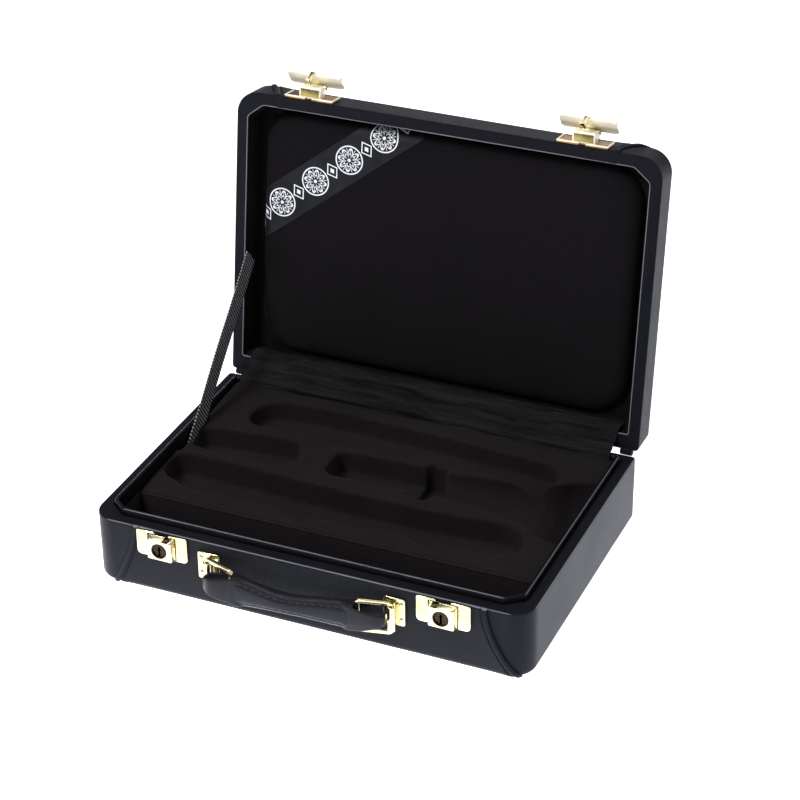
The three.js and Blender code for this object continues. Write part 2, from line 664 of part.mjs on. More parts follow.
// ---------------------------------------------------------------- latches
const K = (k) => FRONT - k; // a distance k in front of the face
["left", "right"].forEach((side, i) => {
  const cx = LATCH_X[i],
    d = i ? 1 : -1; // the slide travels outwards
  const X = (a) => cx + d * a;
  const boxD = (a, b, k0, k1, z0, z1) =>
    box(Math.min(X(a), X(b)), Math.max(X(a), X(b)), K(k1), K(k0), z0, z1);
  // base plate with a window for the slide's stem and a notch at its top edge
  caseGroup.add(
    piece(
      "latch_base_plate_" + side,
      cut(
        prismY(
          plateOutline(cx - LATCH_W / 2, cx + LATCH_W / 2, 31.3, 51.6, [3.5, 3.5, 1, 1]),
          K(GAP + 1),
          K(GAP),
        ),
        boxD(-4.6, 4.6 + LOCK_TRAVEL, -2, 5, 36.4, 43.6),
        boxD(-6, 6, -2, 5, 50, 53),
        boxD(-2.3, 2.3, -2, 5, 48.2, 53),
      ),
      "gilt",
    ),
  );
  // the sliding lock block: drafted box, stem and retaining foot, with a notch that the hasp's hook leaves by
  const face = (w, k, z0, z1) => [
    [cx - w, K(k), z0],
    [cx + w, K(k), z0],
    [cx + w, K(k), z1],
    [cx - w, K(k), z1],
  ];
  const block = loft([
    face(10.5, 1.6, 31.5, 49.6),
    face(10.3, 2.4, 31.6, 49.4),
    face(9.4, 5.4, 32.1, 48.8),
    face(8.8, 6, 32.7, 48.2),
  ]);
  caseGroup.add(
    piece(
      "lock_slide_" + side,
      cut(
        union(
          block,
          box(cx - 4, cx + 4, K(2), K(-2.2), 37, 43),
          box(cx - 6.2, cx + 6.2, K(-1.2), K(-2.4), 35, 45),
        ),
        rodY(5.2, K(7), K(2.2), cx, 40, 24),
        boxD(-7.3, -2.7, 0, 8, 47.7, 52),
      ),
      "gilt",
    ),
    piece(
      "lock_cylinder_" + side,
      cut(
        rodY(4.85, K(5.4), K(2.5), cx, 40, 24),
        box(cx - 0.9, cx + 0.9, K(6), K(3.4), 37.2, 42.8),
        rodY(1.6, K(6), K(3.4), cx, 40, 10),
      ),
      "barrel",
    ),
  );
  // return spring of the slide, lying in the pocket behind the plate
  const coil = new (class extends THREE.Curve {
    getPoint(t, target = new THREE.Vector3()) {
      const a = t * 2 * Math.PI * 5;
      return target.set(
        X(6.9 + 7.2 * t),
        K(-1.9) + 1.1 * Math.cos(a) - 0,
        40 + 1.1 * Math.sin(a),
      );
    }
  })();
  const wire = new THREE.Shape(
    [0, 1, 2, 3, 4].map(
      (j) => new THREE.Vector2(0.25 * Math.cos((j * 2 * Math.PI) / 5), 0.25 * Math.sin((j * 2 * Math.PI) / 5)),
    ),
  );
  const spring = solidOf(
    new THREE.ExtrudeGeometry(wire, { steps: 50, bevelEnabled: false, extrudePath: coil }),
  );
  caseGroup.add(piece("lock_spring_" + side, spring, "steel"));

  // lid plate: raised front and side borders, and a boxed spring housing with two cheeks for the
  // hasp's pin
  const ay = K(HASP_AXIS_K),
    az = HASP_AXIS_Z;
  const pinBore = rodX(1.35, cx - 30, cx + 30, ay, az);
  const [f0, f1] = HASP_Z;
  lid.add(
    piece(
      "latch_lid_plate_" + side,
      cut(
        union(
          prismY(
            plateOutline(cx - LATCH_W / 2, cx + LATCH_W / 2, LID_Z0 + 0.7, 70, [1, 1, 2, 2]),
            K(GAP + 1),
            K(GAP),
          ),
          box(cx - 19, cx + 19, K(2.1), K(1), LID_Z0 + 0.9, 55.9),
          box(cx - 19.5, cx - 18.1, K(2.1), K(1), 55, 68.5),
          box(cx + 18.1, cx + 19.5, K(2.1), K(1), 55, 68.5),
          box(cx - 8.6, cx + 8.6, K(9.4), K(1), 56.6, 64.2),
          box(cx - 8.6, cx - 5.6, K(HASP_AXIS_K), K(1), 64, 68.4),
          box(cx + 5.6, cx + 8.6, K(HASP_AXIS_K), K(1), 64, 68.4),
          rodX(2, cx - 8.6, cx - 5.6, ay, az),
          rodX(2, cx + 5.6, cx + 8.6, ay, az),
        ),
        box(cx - 2.4, cx + 2.4, K(8), K(-1), LID_Z0, 55.4),
        pinBore,
      ),
      "gilt",
    ),
    piece("hasp_pin_" + side, rodX(1.0, cx - 9.2, cx + 9.2, ay, az, 12), "gilt"),
  );
  // hasp: knuckle, web, flap, and the prong that hooks behind the slide
  const hasp = cut(
    union(
      rodX(2, cx - 5.3, cx + 5.3, ay, az),
      box(cx - 5.3, cx + 5.3, K(10.2), K(HASP_AXIS_K), 65.6, 68.4),
      prismY(plateOutline(cx - 21.4, cx + 21.4, f0, f1, [3, 3, 3, 3]), K(11.1), K(9.9)),
      box(cx - 1.8, cx + 1.8, K(10.5), K(0.5), 53.5, 55.1),
      box(cx - 1.8, cx + 1.8, K(11.1), K(9.9), 53.5, 56),
      box(cx - 1.8, cx + 1.8, K(1.3), K(0.5), 49, 55.1),
    ),
    pinBore,
  );
  const turn = new THREE.Group();
  turn.position.set(0, ay, az);
  turn.rotation.x = -rad(HASP_OPEN);
  const inner = new THREE.Group();
  inner.position.set(0, -ay, -az);
  inner.add(piece("hasp_" + side, hasp, "gilt"));
  turn.add(inner);
  lid.add(turn);
});

// ---------------------------------------------------------------- handle
["left", "right"].forEach((side, i) => {
  const bx = BAIL_X[i],
    s = i ? -1 : 1; // towards the middle of the handle
  const plate = i ? [60.9, 76.6] : [-79.7, -63.1];
  const by = K(BAIL_K);
  const rx = i ? 73.9 : -77;
  caseGroup.add(
    piece(
      "handle_plate_" + side,
      cut(
        union(
          prismY(plateOutline(plate[0], plate[1], 23.3, 45, [1.2, 1.2, 1.2, 1.2]), K(1.7), K(GAP)),
          rodZ(3.3, KNUCKLE_Z[0], KNUCKLE_Z[1], bx, by, 16),
          rodY(1.5, K(2.6), K(1.5), rx, 28, 10, 1.5),
          rodY(1.5, K(2.6), K(1.5), rx, 40.5, 10, 1.5),
        ),
        rodZ(1.85, 10, 50, bx, by, 12),
      ),
      "gilt",
    ),
  );
  // bail: a rectangular ring, modelled flat against the face and swung out
  const far = bx + s * BAIL_LEN;
  const ring = union(
    rodZ(1.5, 17.8, 43.2, bx, by, 12),
    rodZ(1.5, 17.8, 43.2, far, by, 12),
    box(Math.min(bx, far), Math.max(bx, far), by - 1.5, by + 1.5, 41, 43.4),
    box(Math.min(bx, far), Math.max(bx, far), by - 1.5, by + 1.5, 17.6, 20),
    rodZ(1.9, 41, 43.4, bx, by, 12),
    rodZ(1.9, 17.6, 20, bx, by, 12),
    rodZ(1.9, 41, 43.4, far, by, 12),
    rodZ(1.9, 17.6, 20, far, by, 12),
  );
  const turn = new THREE.Group();
  turn.position.set(bx, by, 0);
  turn.rotation.z = -s * rad(BAIL_REST[i]);
  const inner = new THREE.Group();
  inner.position.set(-bx, -by, 0);
  inner.add(piece("bail_" + side, ring, "gilt"));
  turn.add(inner);
  caseGroup.add(turn);
});
// The grip: a padded leather band whose ends open into loops round the bails' far bars.
// Outline in (x, distance in front of the face).
const GRIP_OUT = [
  [-72, 11.6], [-71, 9.4], [-67.5, 8.4], [-58, 8.1], [-45, 8.1], [-30, 8.6], [0, 8.4],
  [25, 7.2], [42, 5.6], [54, 5.2], [60, 5.8], [63.4, 8.3], [66.2, 9.4], [66.6, 12],
  [65.4, 14.6], [61, 16], [52, 16.3], [42, 16], [25, 16.8], [0, 18.4], [-15, 19],
  [-30, 18.6], [-45, 18.2], [-58, 18.6], [-66, 18.2], [-70.4, 16],
];
const GRIP_HOLE_L = [
  [-69.6, 12], [-68.4, 10.9], [-66, 10.4], [-50, 10.1], [-46.6, 10.3], [-45.4, 13],
  [-46.4, 15], [-50, 15.9], [-66, 15.9], [-68.8, 14.6],
];
const GRIP_HOLE_R = [
  [42.2, 9.6], [43.4, 8], [46, 7.5], [57, 7.5], [60.4, 8.4], [63.6, 10.6], [63.8, 12],
  [62.6, 13.2], [59, 13.6], [46, 13.5], [43.2, 12.2],
];
// And its outline in (x, height): widest where the bails' bars are, waisted between them.
const GRIP_FRONT = [
  [-73, 27.6], [-69.8, 24.4], [-65, 22.6], [-60, 21.2], [-55, 20.5], [-50.6, 20.3], [-48, 19], [-44, 18.3],
  [-37.2, 18.6], [-25, 19.9], [-13.7, 20.7], [5.6, 20.9], [16.7, 20.4], [27.8, 19.8],
  [38.9, 19.6], [46, 20.8], [52, 22.4], [58, 24.8], [63.5, 27], [68, 30], [68, 34],
  [64.5, 37], [56.2, 37.4], [47.8, 38], [39.4, 39.8], [32.7, 40.4], [20, 39.2],
  [13.4, 38.2], [-1.6, 36.2], [-12.9, 36.4], [-24.5, 38], [-36.2, 40], [-41.1, 40.6],
  [-44.5, 40.6], [-51.5, 38.6], [-59.9, 36.6], [-66.1, 36.2], [-70, 34.4], [-73, 31.5],
];
const toPlan = (pts) => pts.map(([x, k]) => [x, K(k)]).reverse();
caseGroup.add(
  piece(
    "handle_grip",
    prismZ(toPlan(GRIP_OUT), 17, 42, [toPlan(GRIP_HOLE_L), toPlan(GRIP_HOLE_R)]).intersect(
      prismY(GRIP_FRONT, K(30), K(0)),
    ),
    "leather",
  ),
);

// ---------------------------------------------------------------- stay strap and hinge cloth
const openPoint = (x, y, z) => {
  const v = new THREE.Vector3(x, y - HINGE_Y, z - HINGE_Z).applyAxisAngle(
    new THREE.Vector3(1, 0, 0),
    -rad(OPEN_DEG),
  );
  return [v.x, v.y + HINGE_Y, v.z + HINGE_Z];
};
// The strap's middle line, from its foot inside the left wall, past the tongue, to the lid.
const strapTop = openPoint(-153.7, 20, LID_Z0 + 4.6);
const strapLine = [
  [STRAP_X, 16, 30],
  [STRAP_X, 18.5, 40],
  [STRAP_X + 1.4, 31.5, 56.8],
  [STRAP_X + 0.1, 79, 101.5],
  [strapTop[0], strapTop[1], strapTop[2]],
];
const strapRings = strapLine.map(([x, y, z], i) => {
  const a = strapLine[Math.max(i - 1, 0)],
    b = strapLine[Math.min(i + 1, strapLine.length - 1)];
  const l = Math.hypot(b[1] - a[1], b[2] - a[2]);
  const ny = -(b[2] - a[2]) / l,
    nz = (b[1] - a[1]) / l;
  const w = STRAP_W / 2,
    t = STRAP_T / 2;
  return [
    [x - t, y + ny * w, z + nz * w],
    [x + t, y + ny * w, z + nz * w],
    [x + t, y - ny * w, z - nz * w],
    [x - t, y - ny * w, z - nz * w],
  ];
});
caseGroup.add(
  piece("stay_strap", loft(strapRings), "webbing"),
  piece(
    "strap_anchor",
    union(
      box(STRAP_X + 0.9, STRAP_X + 1.9, 8, 24, 27, 37),
      solidOf(new THREE.CylinderGeometry(2, 1.6, 0.6, 10).rotateZ(-Math.PI / 2).translate(STRAP_X + 1.9, 16, 32)),
    ),
    "gilt",
  ),
);
// The cloth over the hinge gap: from inside the back tongue, over it, and on to the lid's back wall.
const clothTop = [
  [HY - TRAY_IN - 0.2, trayTop(95) + 0.9],
  [HY - TRAY_IN - 0.2, BASE_H + LIP_H + 0.4],
  [HY - LIP_OUT + 1.2, BASE_H + LIP_H + 1.4],
  [HY - 2, BASE_H + LIP_H + 3.6],
  openPoint(0, HY - LIP_OUT + 0.2, LID_Z0 - 1.6).slice(1),
  openPoint(0, HY - LIP_OUT - 0.7, LID_Z0 + 2).slice(1),
  openPoint(0, HY - LIP_OUT - 1.8, LID_Z0 + 7).slice(1),
  openPoint(0, HY - LIP_OUT - 2, LID_Z0 + 11).slice(1),
];
const clothLow = clothTop.map(([y, z], i) => {
  const a = clothTop[Math.max(i - 1, 0)],
    b = clothTop[Math.min(i + 1, clothTop.length - 1)];
  const l = Math.hypot(b[0] - a[0], b[1] - a[1]);
  return [y - ((b[1] - a[1]) / l) * 0.9, z + ((b[0] - a[0]) / l) * 0.9];
});
caseGroup.add(
  piece("hinge_cloth", prismX([...clothTop, ...clothLow.reverse()], -149, 149), "velvet"),
);

export default caseGroup;
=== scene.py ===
"""Looks of the clarinet case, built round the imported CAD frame. Lengths are in millimetres until
they are handed to Blender, which gets metres."""

import math

import bmesh
import bpy
import numpy as np
from mathutils import Matrix, Vector


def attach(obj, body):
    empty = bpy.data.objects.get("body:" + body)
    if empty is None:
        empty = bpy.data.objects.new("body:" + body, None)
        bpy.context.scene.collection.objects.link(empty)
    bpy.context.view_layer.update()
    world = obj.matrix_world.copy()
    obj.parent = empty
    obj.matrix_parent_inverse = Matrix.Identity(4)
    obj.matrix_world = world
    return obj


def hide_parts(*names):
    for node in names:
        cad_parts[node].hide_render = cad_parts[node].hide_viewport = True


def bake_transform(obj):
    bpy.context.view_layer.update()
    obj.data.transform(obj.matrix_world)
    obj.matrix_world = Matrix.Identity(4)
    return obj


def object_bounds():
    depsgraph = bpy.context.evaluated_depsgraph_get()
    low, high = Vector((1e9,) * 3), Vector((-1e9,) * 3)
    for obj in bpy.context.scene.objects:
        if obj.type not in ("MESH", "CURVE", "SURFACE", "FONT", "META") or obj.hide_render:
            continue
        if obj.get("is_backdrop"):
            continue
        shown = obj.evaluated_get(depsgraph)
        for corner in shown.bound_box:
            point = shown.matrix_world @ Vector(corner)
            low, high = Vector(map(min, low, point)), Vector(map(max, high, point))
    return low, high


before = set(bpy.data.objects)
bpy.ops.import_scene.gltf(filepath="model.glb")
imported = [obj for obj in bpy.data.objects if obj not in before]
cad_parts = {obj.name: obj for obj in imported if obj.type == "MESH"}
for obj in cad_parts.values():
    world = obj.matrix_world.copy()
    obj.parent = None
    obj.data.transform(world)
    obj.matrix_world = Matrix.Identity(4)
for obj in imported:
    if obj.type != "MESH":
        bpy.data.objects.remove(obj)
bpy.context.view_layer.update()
MM = 0.001

# ------------------------------------------------------------------ sizes, as in the CAD
HX, HY = 165.0, 109.35
BASE_H, LID_Z0, LID_Z1 = 52.7, 53.0, 80.3
CORNER_R, EDGE_R = 17.0, 5.0
RIM_W, LIP_OUT, LIP_T, LIP_H = 8.7, 9.3, 2.8, 5.0
HINGE_Y, HINGE_Z = HY + 4.3, BASE_H + 0.7
OPEN = math.radians(98.1)
HASP_OPEN = math.radians(52.0)
LATCH_X = (-107.9, 104.2)
BAIL_X = (-70.6, 68.0)
BAIL_LEN, BAIL_REST = 23.5, (19.0, 12.0)
KNUCKLE_Z = (20.6, 40.2)
BACK_R, LID_LEAN = 3.0, 3.25
TRAY_FRONT, TRAY_Z0, TRAY_RISE = -60.0, 47.5, 7.0 / 157.0
TRAY_IN = LIP_OUT + LIP_T + 0.3
PAD_Z = LID_Z0 + 12.0
LID_CEIL = LID_Z1 - 5.5
FRONT = -HY

rng = np.random.default_rng(7)


def K(k):
    return FRONT - k


# ------------------------------------------------------------------ small helpers
def turned(P, angle, y0, z0):
    """P turned back about an axis along X through (y0, z0)."""
    P = np.array(P, float)
    y, z = P[..., 1] - y0, P[..., 2] - z0
    c, s = math.cos(-angle), math.sin(-angle)
    P[..., 1], P[..., 2] = y * c - z * s + y0, y * s + z * c + z0
    return P


def opened(P):
    return turned(P, OPEN, HINGE_Y, HINGE_Z)


def ss(a, b, x):
    t = np.clip((np.asarray(x, float) - a) / (b - a), 0, 1)
    return t * t * (3 - 2 * t)


def fbm(x, y, seed=0, n=5, scale=1.0):
    """Smooth, repeatable waves of mixed direction, about -1 to 1."""
    r = np.random.default_rng(seed)
    out = np.zeros_like(np.asarray(x, float) + np.asarray(y, float))
    for i in range(n * 3):
        f = (1.0 + 0.9 * r.random()) * (1.6 ** (i // 3)) * scale
        a = r.random() * 2 * math.pi
        out += (
            np.sin(f * (x * math.cos(a) + y * math.sin(a)) + r.random() * 6.283)
            / (1.5 ** (i // 3))
            / 3
        )
    return out / 1.6


def build(name, V, F, mat, body, nodes=(), slot=None, angle=None, turn=None, uv=None,
          bevel=None, subsurf=0, blend=None):
    """A mesh object from vertices in mm. uv is one (u, v) per vertex, in mm."""
    V = np.asarray(V, float).reshape(-1, 3)
    if turn is not None:
        V = turn(V)
    me = bpy.data.meshes.new(name)
    me.from_pydata((V * MM).tolist(), [], [tuple(int(i) for i in f) for f in F])
    me.validate()
    me.update()
    o = bpy.data.objects.new(name, me)
    bpy.context.scene.collection.objects.link(o)
    if uv is not None:
        layer = me.uv_layers.new(name="cloth")
        loops = np.zeros(len(me.loops), int)
        me.loops.foreach_get("vertex_index", loops)
        layer.data.foreach_set("uv", (np.asarray(uv, float)[loops] * MM).ravel())
    me.shade_smooth()
    if angle is not None:
        me.set_sharp_from_angle(angle=math.radians(angle))
    me.materials.append(mat)
    if bevel:
        m = o.modifiers.new("edge", "BEVEL")
        m.width, m.segments = bevel * MM, 3
        m.limit_method, m.angle_limit = "ANGLE", math.radians(38)
        m.harden_normals = False
        m.use_clamp_overlap = True
        apply_modifiers(o)
        if angle is None:
            o.data.shade_smooth()
            o.data.set_sharp_from_angle(angle=math.radians(50))
    if subsurf:
        m = o.modifiers.new("smooth", "SUBSURF")
        m.levels = m.render_levels = subsurf
        apply_modifiers(o)
    if nodes:
        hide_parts(*nodes)
    if blend:
        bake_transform(o)
    elif body:
        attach(o, body)
    return o


def apply_modifiers(o):
    bpy.context.view_layer.update()
    dg = bpy.context.evaluated_depsgraph_get()
    me = bpy.data.meshes.new_from_object(o.evaluated_get(dg))
    old = o.data
    o.modifiers.clear()
    o.data = me
    bpy.data.meshes.remove(old)


def grid_faces(nu, nv, close_u=False, close_v=False, base=0, flip=False):
    mu, mv = (nu if close_u else nu - 1), (nv if close_v else nv - 1)
    i, j = np.meshgrid(np.arange(mu), np.arange(mv), indexing="ij")
    a = i * nv + j
    b = ((i + 1) % nu) * nv + j
    c = ((i + 1) % nu) * nv + (j + 1) % nv
    d = i * nv + (j + 1) % nv
    q = np.stack([a, b, c, d], -1).reshape(-1, 4) + base
    return q[:, ::-1] if flip else q


def slab(P, Q, close_u=False):
    """Closed mesh between a front grid P and a back grid Q of the same shape (nu, nv, 3)."""
    nu, nv = P.shape[:2]
    n = nu * nv
    V = np.concatenate([P.reshape(-1, 3), Q.reshape(-1, 3)])
    F = [grid_faces(nu, nv, close_u), grid_faces(nu, nv, close_u, base=n, flip=True)]
    side = []
    for i in range(nu if close_u else nu - 1):
        k = (i + 1) % nu
        side.append((i * nv, n + i * nv, n + k * nv, k * nv))
        e = nv - 1
        side.append((k * nv + e, n + k * nv + e, n + i * nv + e, i * nv + e))
    if not close_u:
        for j in range(nv - 1):
            side.append((j + 1, n + j + 1, n + j, j))
            e = (nu - 1) * nv
            side.append((e + j, n + e + j, n + e + j + 1, e + j + 1))
    return V, np.concatenate(F + [np.array(side)])


def normals(P, close_u=False):
    if close_u:
        du = np.roll(P, -1, 0) - np.roll(P, 1, 0)
    else:
        du = np.gradient(P, axis=0)
    dv = np.gradient(P, axis=1)
    n = np.cross(du, dv)
    l = np.linalg.norm(n, axis=-1, keepdims=True)
    return n / np.maximum(l, 1e-9)


def tube(path, profile, closed=False, up=(0, 0, 1), scale=None):
    """Sweep of a closed profile [(a, b)...] along a path; a runs along path x up, b along up'."""
    path = np.asarray(path, float)
    n = len(path)
    if closed:
        t = np.roll(path, -1, 0) - np.roll(path, 1, 0)
    else:
        t = np.gradient(path, axis=0)
    t /= np.linalg.norm(t, axis=1, keepdims=True)
    up = np.asarray(up, float)
    up = np.tile(up, (n, 1)) if up.ndim == 1 else up
    a = np.cross(t, up)
    a /= np.linalg.norm(a, axis=1, keepdims=True)
    b = np.cross(a, t)
    prof = np.asarray(profile, float)
    sc = np.ones(n) if scale is None else np.asarray(scale, float)
    V = (
        path[:, None, :]
        + a[:, None, :] * (prof[None, :, 0, None] * sc[:, None, None])
        + b[:, None, :] * (prof[None, :, 1, None] * sc[:, None, None])
    )
    m = len(prof)
    F = grid_faces(n, m, close_u=closed, close_v=True).tolist()
    if not closed:
        F.append(list(range(m)))
        F.append([(n - 1) * m + i for i in range(m)][::-1])
    return V.reshape(-1, 3), F


def circle(r, n=12, rx=None):
    a = np.arange(n) * 2 * math.pi / n
    return np.stack([(rx or r) * np.cos(a), r * np.sin(a)], 1)


def round_rect(w, h, r, seg=4):
    """Closed outline of a w x h rectangle with rounded corners, counter-clockwise."""
    out = []
    for sx, sy, a0 in ((1, 1, 0), (-1, 1, 90), (-1, -1, 180), (1, -1, 270)):
        for i in range(seg + 1):
            a = math.radians(a0 + 90 * i / seg)
            out.append((sx * (w / 2 - r) + r * math.cos(a), sy * (h / 2 - r) + r * math.sin(a)))
    return np.array(out)


def smooth_path(pts, n, closed=False):
    """Catmull-Rom through the points, resampled to n points of even length."""
    P = np.asarray(pts, float)
    m = len(P)
    idx = range(m if closed else m - 1)
    out = []
    for i in idx:
        p0 = P[(i - 1) % m] if closed or i > 0 else 2 * P[0] - P[1]
        p1, p2 = P[i], P[(i + 1) % m]
        p3 = P[(i + 2) % m] if closed or i + 2 < m else 2 * P[-1] - P[-2]
        for t in np.linspace(0, 1, 16, endpoint=False):
            out.append(
                0.5
                * (
                    2 * p1
                    + (p2 - p0) * t
                    + (2 * p0 - 5 * p1 + 4 * p2 - p3) * t * t
                    + (3 * p1 - p0 - 3 * p2 + p3) * t**3
                )
            )
    out.append(P[0] if closed else P[-1])
    out = np.array(out)
    d = np.concatenate([[0], np.cumsum(np.linalg.norm(np.diff(out, axis=0), axis=1))])
    s = np.linspace(0, d[-1], n, endpoint=not closed)
    return np.stack([np.interp(s, d, out[:, k]) for k in range(P.shape[1])], 1)


def capsules(points, directions, ups, length, r, flat=0.7):
    """Stitches: one small flattened lozenge at each point, as a single mesh."""
    V, F = [], []
    ring = circle(1, 6)
    ts = np.array([-0.5, -0.42, -0.2, 0.2, 0.42, 0.5])
    rs = np.array([0.25, 0.75, 1, 1, 0.75, 0.25])
    for p, d, u in zip(points, directions, ups):
        d = np.asarray(d) / np.linalg.norm(d)
        u = np.asarray(u) / np.linalg.norm(u)
        a = np.cross(d, u)
        base = len(V)
        for t, q in zip(ts, rs):
            for x, y in ring:
                V.append(p + d * t * length + a * x * r * q + u * y * r * q * flat)
        F += (grid_faces(6, 6, close_v=True) + base).tolist()
        F.append([base + i for i in range(6)])
        F.append([base + 30 + i for i in range(6)][::-1])
    return np.array(V), F


def prism(outline, a0, a1, plane="xz", taper=0.0):
    """Closed prism of a 2-D outline. plane xz runs from y=a0 to a1, xy from z=a0 to a1."""
    O = np.asarray(outline, float)
    n = len(O)
    area = 0.5 * np.sum(O[:, 0] * np.roll(O[:, 1], -1) - np.roll(O[:, 0], -1) * O[:, 1])
    if area < 0:
        O = O[::-1]
    if plane == "xz":
        lo = np.stack([O[:, 0], np.full(n, a0), O[:, 1]], 1)
        hi = np.stack([O[:, 0], np.full(n, a1), O[:, 1]], 1)
        V = np.concatenate([lo, hi])
        F = [list(range(n)), [n + i for i in range(n)][::-1]]
        F += [[i, n + i, n + (i + 1) % n, (i + 1) % n] for i in range(n)]
    else:
        lo = np.stack([O[:, 0], O[:, 1], np.full(n, a0)], 1)
        hi = np.stack([O[:, 0], O[:, 1], np.full(n, a1)], 1)
        V = np.concatenate([lo, hi])
        F = [list(range(n))[::-1], [n + i for i in range(n)]]
        F += [[i, (i + 1) % n, n + (i + 1) % n, n + i] for i in range(n)]
    return V, F


def rod(axis, r, a0, a1, c1, c2, seg=28, ends=0.3):
    """A round rod along x, y or z with slightly rounded ends, as a lathe."""
    prof = [(r - ends, 0), (r - ends * 0.3, ends * 0.3), (r, ends)]
    L = a1 - a0
    rows = prof + [(q, L - h) for q, h in prof[::-1]]
    ang = np.arange(seg) * 2 * math.pi / seg
    V = []
    for q, h in rows:
        for t in ang:
            u, v = q * math.cos(t), q * math.sin(t)
            V.append({"x": (a0 + h, c1 + u, c2 + v), "y": (c1 + v, a0 + h, c2 + u), "z": (c1 + u, c2 + v, a0 + h)}[axis])
    n = len(rows)
    F = grid_faces(n, seg, close_v=True, flip=True).tolist()
    F.append(list(range(seg))[::-1])
    F.append([(n - 1) * seg + i for i in range(seg)])
    return np.array(V), F


def merge(*parts):
    V, F = [], []
    k = 0
    for v, f in parts:
        v = np.asarray(v, float)
        V.append(v)
        F += [[int(i) + k for i in q] for q in f]
        k += len(v)
    return np.concatenate(V), F


def boolean(o, *cutters, op="DIFFERENCE"):
    """Cuts loose meshes (V, F) out of an object's mesh, or joins them to it."""
    for V, F in cutters:
        me = bpy.data.meshes.new("cutter")
        me.from_pydata((np.asarray(V) * MM).tolist(), [], [tuple(int(i) for i in f) for f in F])
        me.update()
        c = bpy.data.objects.new("cutter", me)
        bpy.context.scene.collection.objects.link(c)
        m = o.modifiers.new("cut", "BOOLEAN")
        m.operation, m.object, m.solver = op, c, "EXACT"
        apply_modifiers(o)
        bpy.data.objects.remove(c)
        bpy.data.meshes.remove(me)
    return o


# ------------------------------------------------------------------ materials
def material(name):
    m = bpy.data.materials.new(name)
    m.use_nodes = True
    nt = m.node_tree
    return m, nt, nt.nodes["Principled BSDF"]


def node(nt, kind, **kw):
    n = nt.nodes.new(kind)
    for k, v in kw.items():
        setattr(n, k, v)
    return n


def val(n, **kw):
    for k, v in kw.items():
        n.inputs[k.replace("_", " ")].default_value = v
    return n


def link(nt, a, b):
    nt.links.new(a, b)


def coords(nt, kind="Object", scale=None):
    t = node(nt, "ShaderNodeTexCoord")
    out = t.outputs[kind]
    if scale:
        mp = node(nt, "ShaderNodeMapping")
        mp.inputs["Scale"].default_value = scale
        link(nt, out, mp.inputs["Vector"])
        out = mp.outputs["Vector"]
    return out


def noise(nt, vec, scale, detail=3.0, rough=0.5, distort=0.0):
    n = node(nt, "ShaderNodeTexNoise")
    val(n, Scale=scale, Detail=detail, Roughness=rough, Distortion=distort)
    link(nt, vec, n.inputs["Vector"])
    return n.outputs["Fac"]


def ramp(nt, fac, stops):
    r = node(nt, "ShaderNodeValToRGB")
    el = r.color_ramp.elements
    while len(el) < len(stops):
        el.new(0.5)
    for e, (p, c) in zip(el, stops):
        e.position = p
        e.color = (*c, 1) if len(c) == 3 else c
    link(nt, fac, r.inputs["Fac"])
    return r.outputs["Color"]


def span(nt, fac, lo, hi, a=0.0, b=1.0):
    m = node(nt, "ShaderNodeMapRange")
    m.inputs["From Min"].default_value = a
    m.inputs["From Max"].default_value = b
    m.inputs["To Min"].default_value = lo
    m.inputs["To Max"].default_value = hi
    link(nt, fac, m.inputs["Value"])
    return m.outputs["Result"]


def mathn(nt, op, a, b=None, c=None):
    m = node(nt, "ShaderNodeMath", operation=op)
    for i, x in enumerate((a, b, c)):
        if x is None:
            continue
        if isinstance(x, (int, float)):
            m.inputs[i].default_value = x
        else:
            link(nt, x, m.inputs[i])
    return m.outputs[0]


def bump(nt, height, strength, distance, normal=None):
    b = node(nt, "ShaderNodeBump")
    val(b, Strength=strength, Distance=distance)
    link(nt, height, b.inputs["Height"])
    if normal is not None:
        link(nt, normal, b.inputs["Normal"])
    return b.outputs["Normal"]


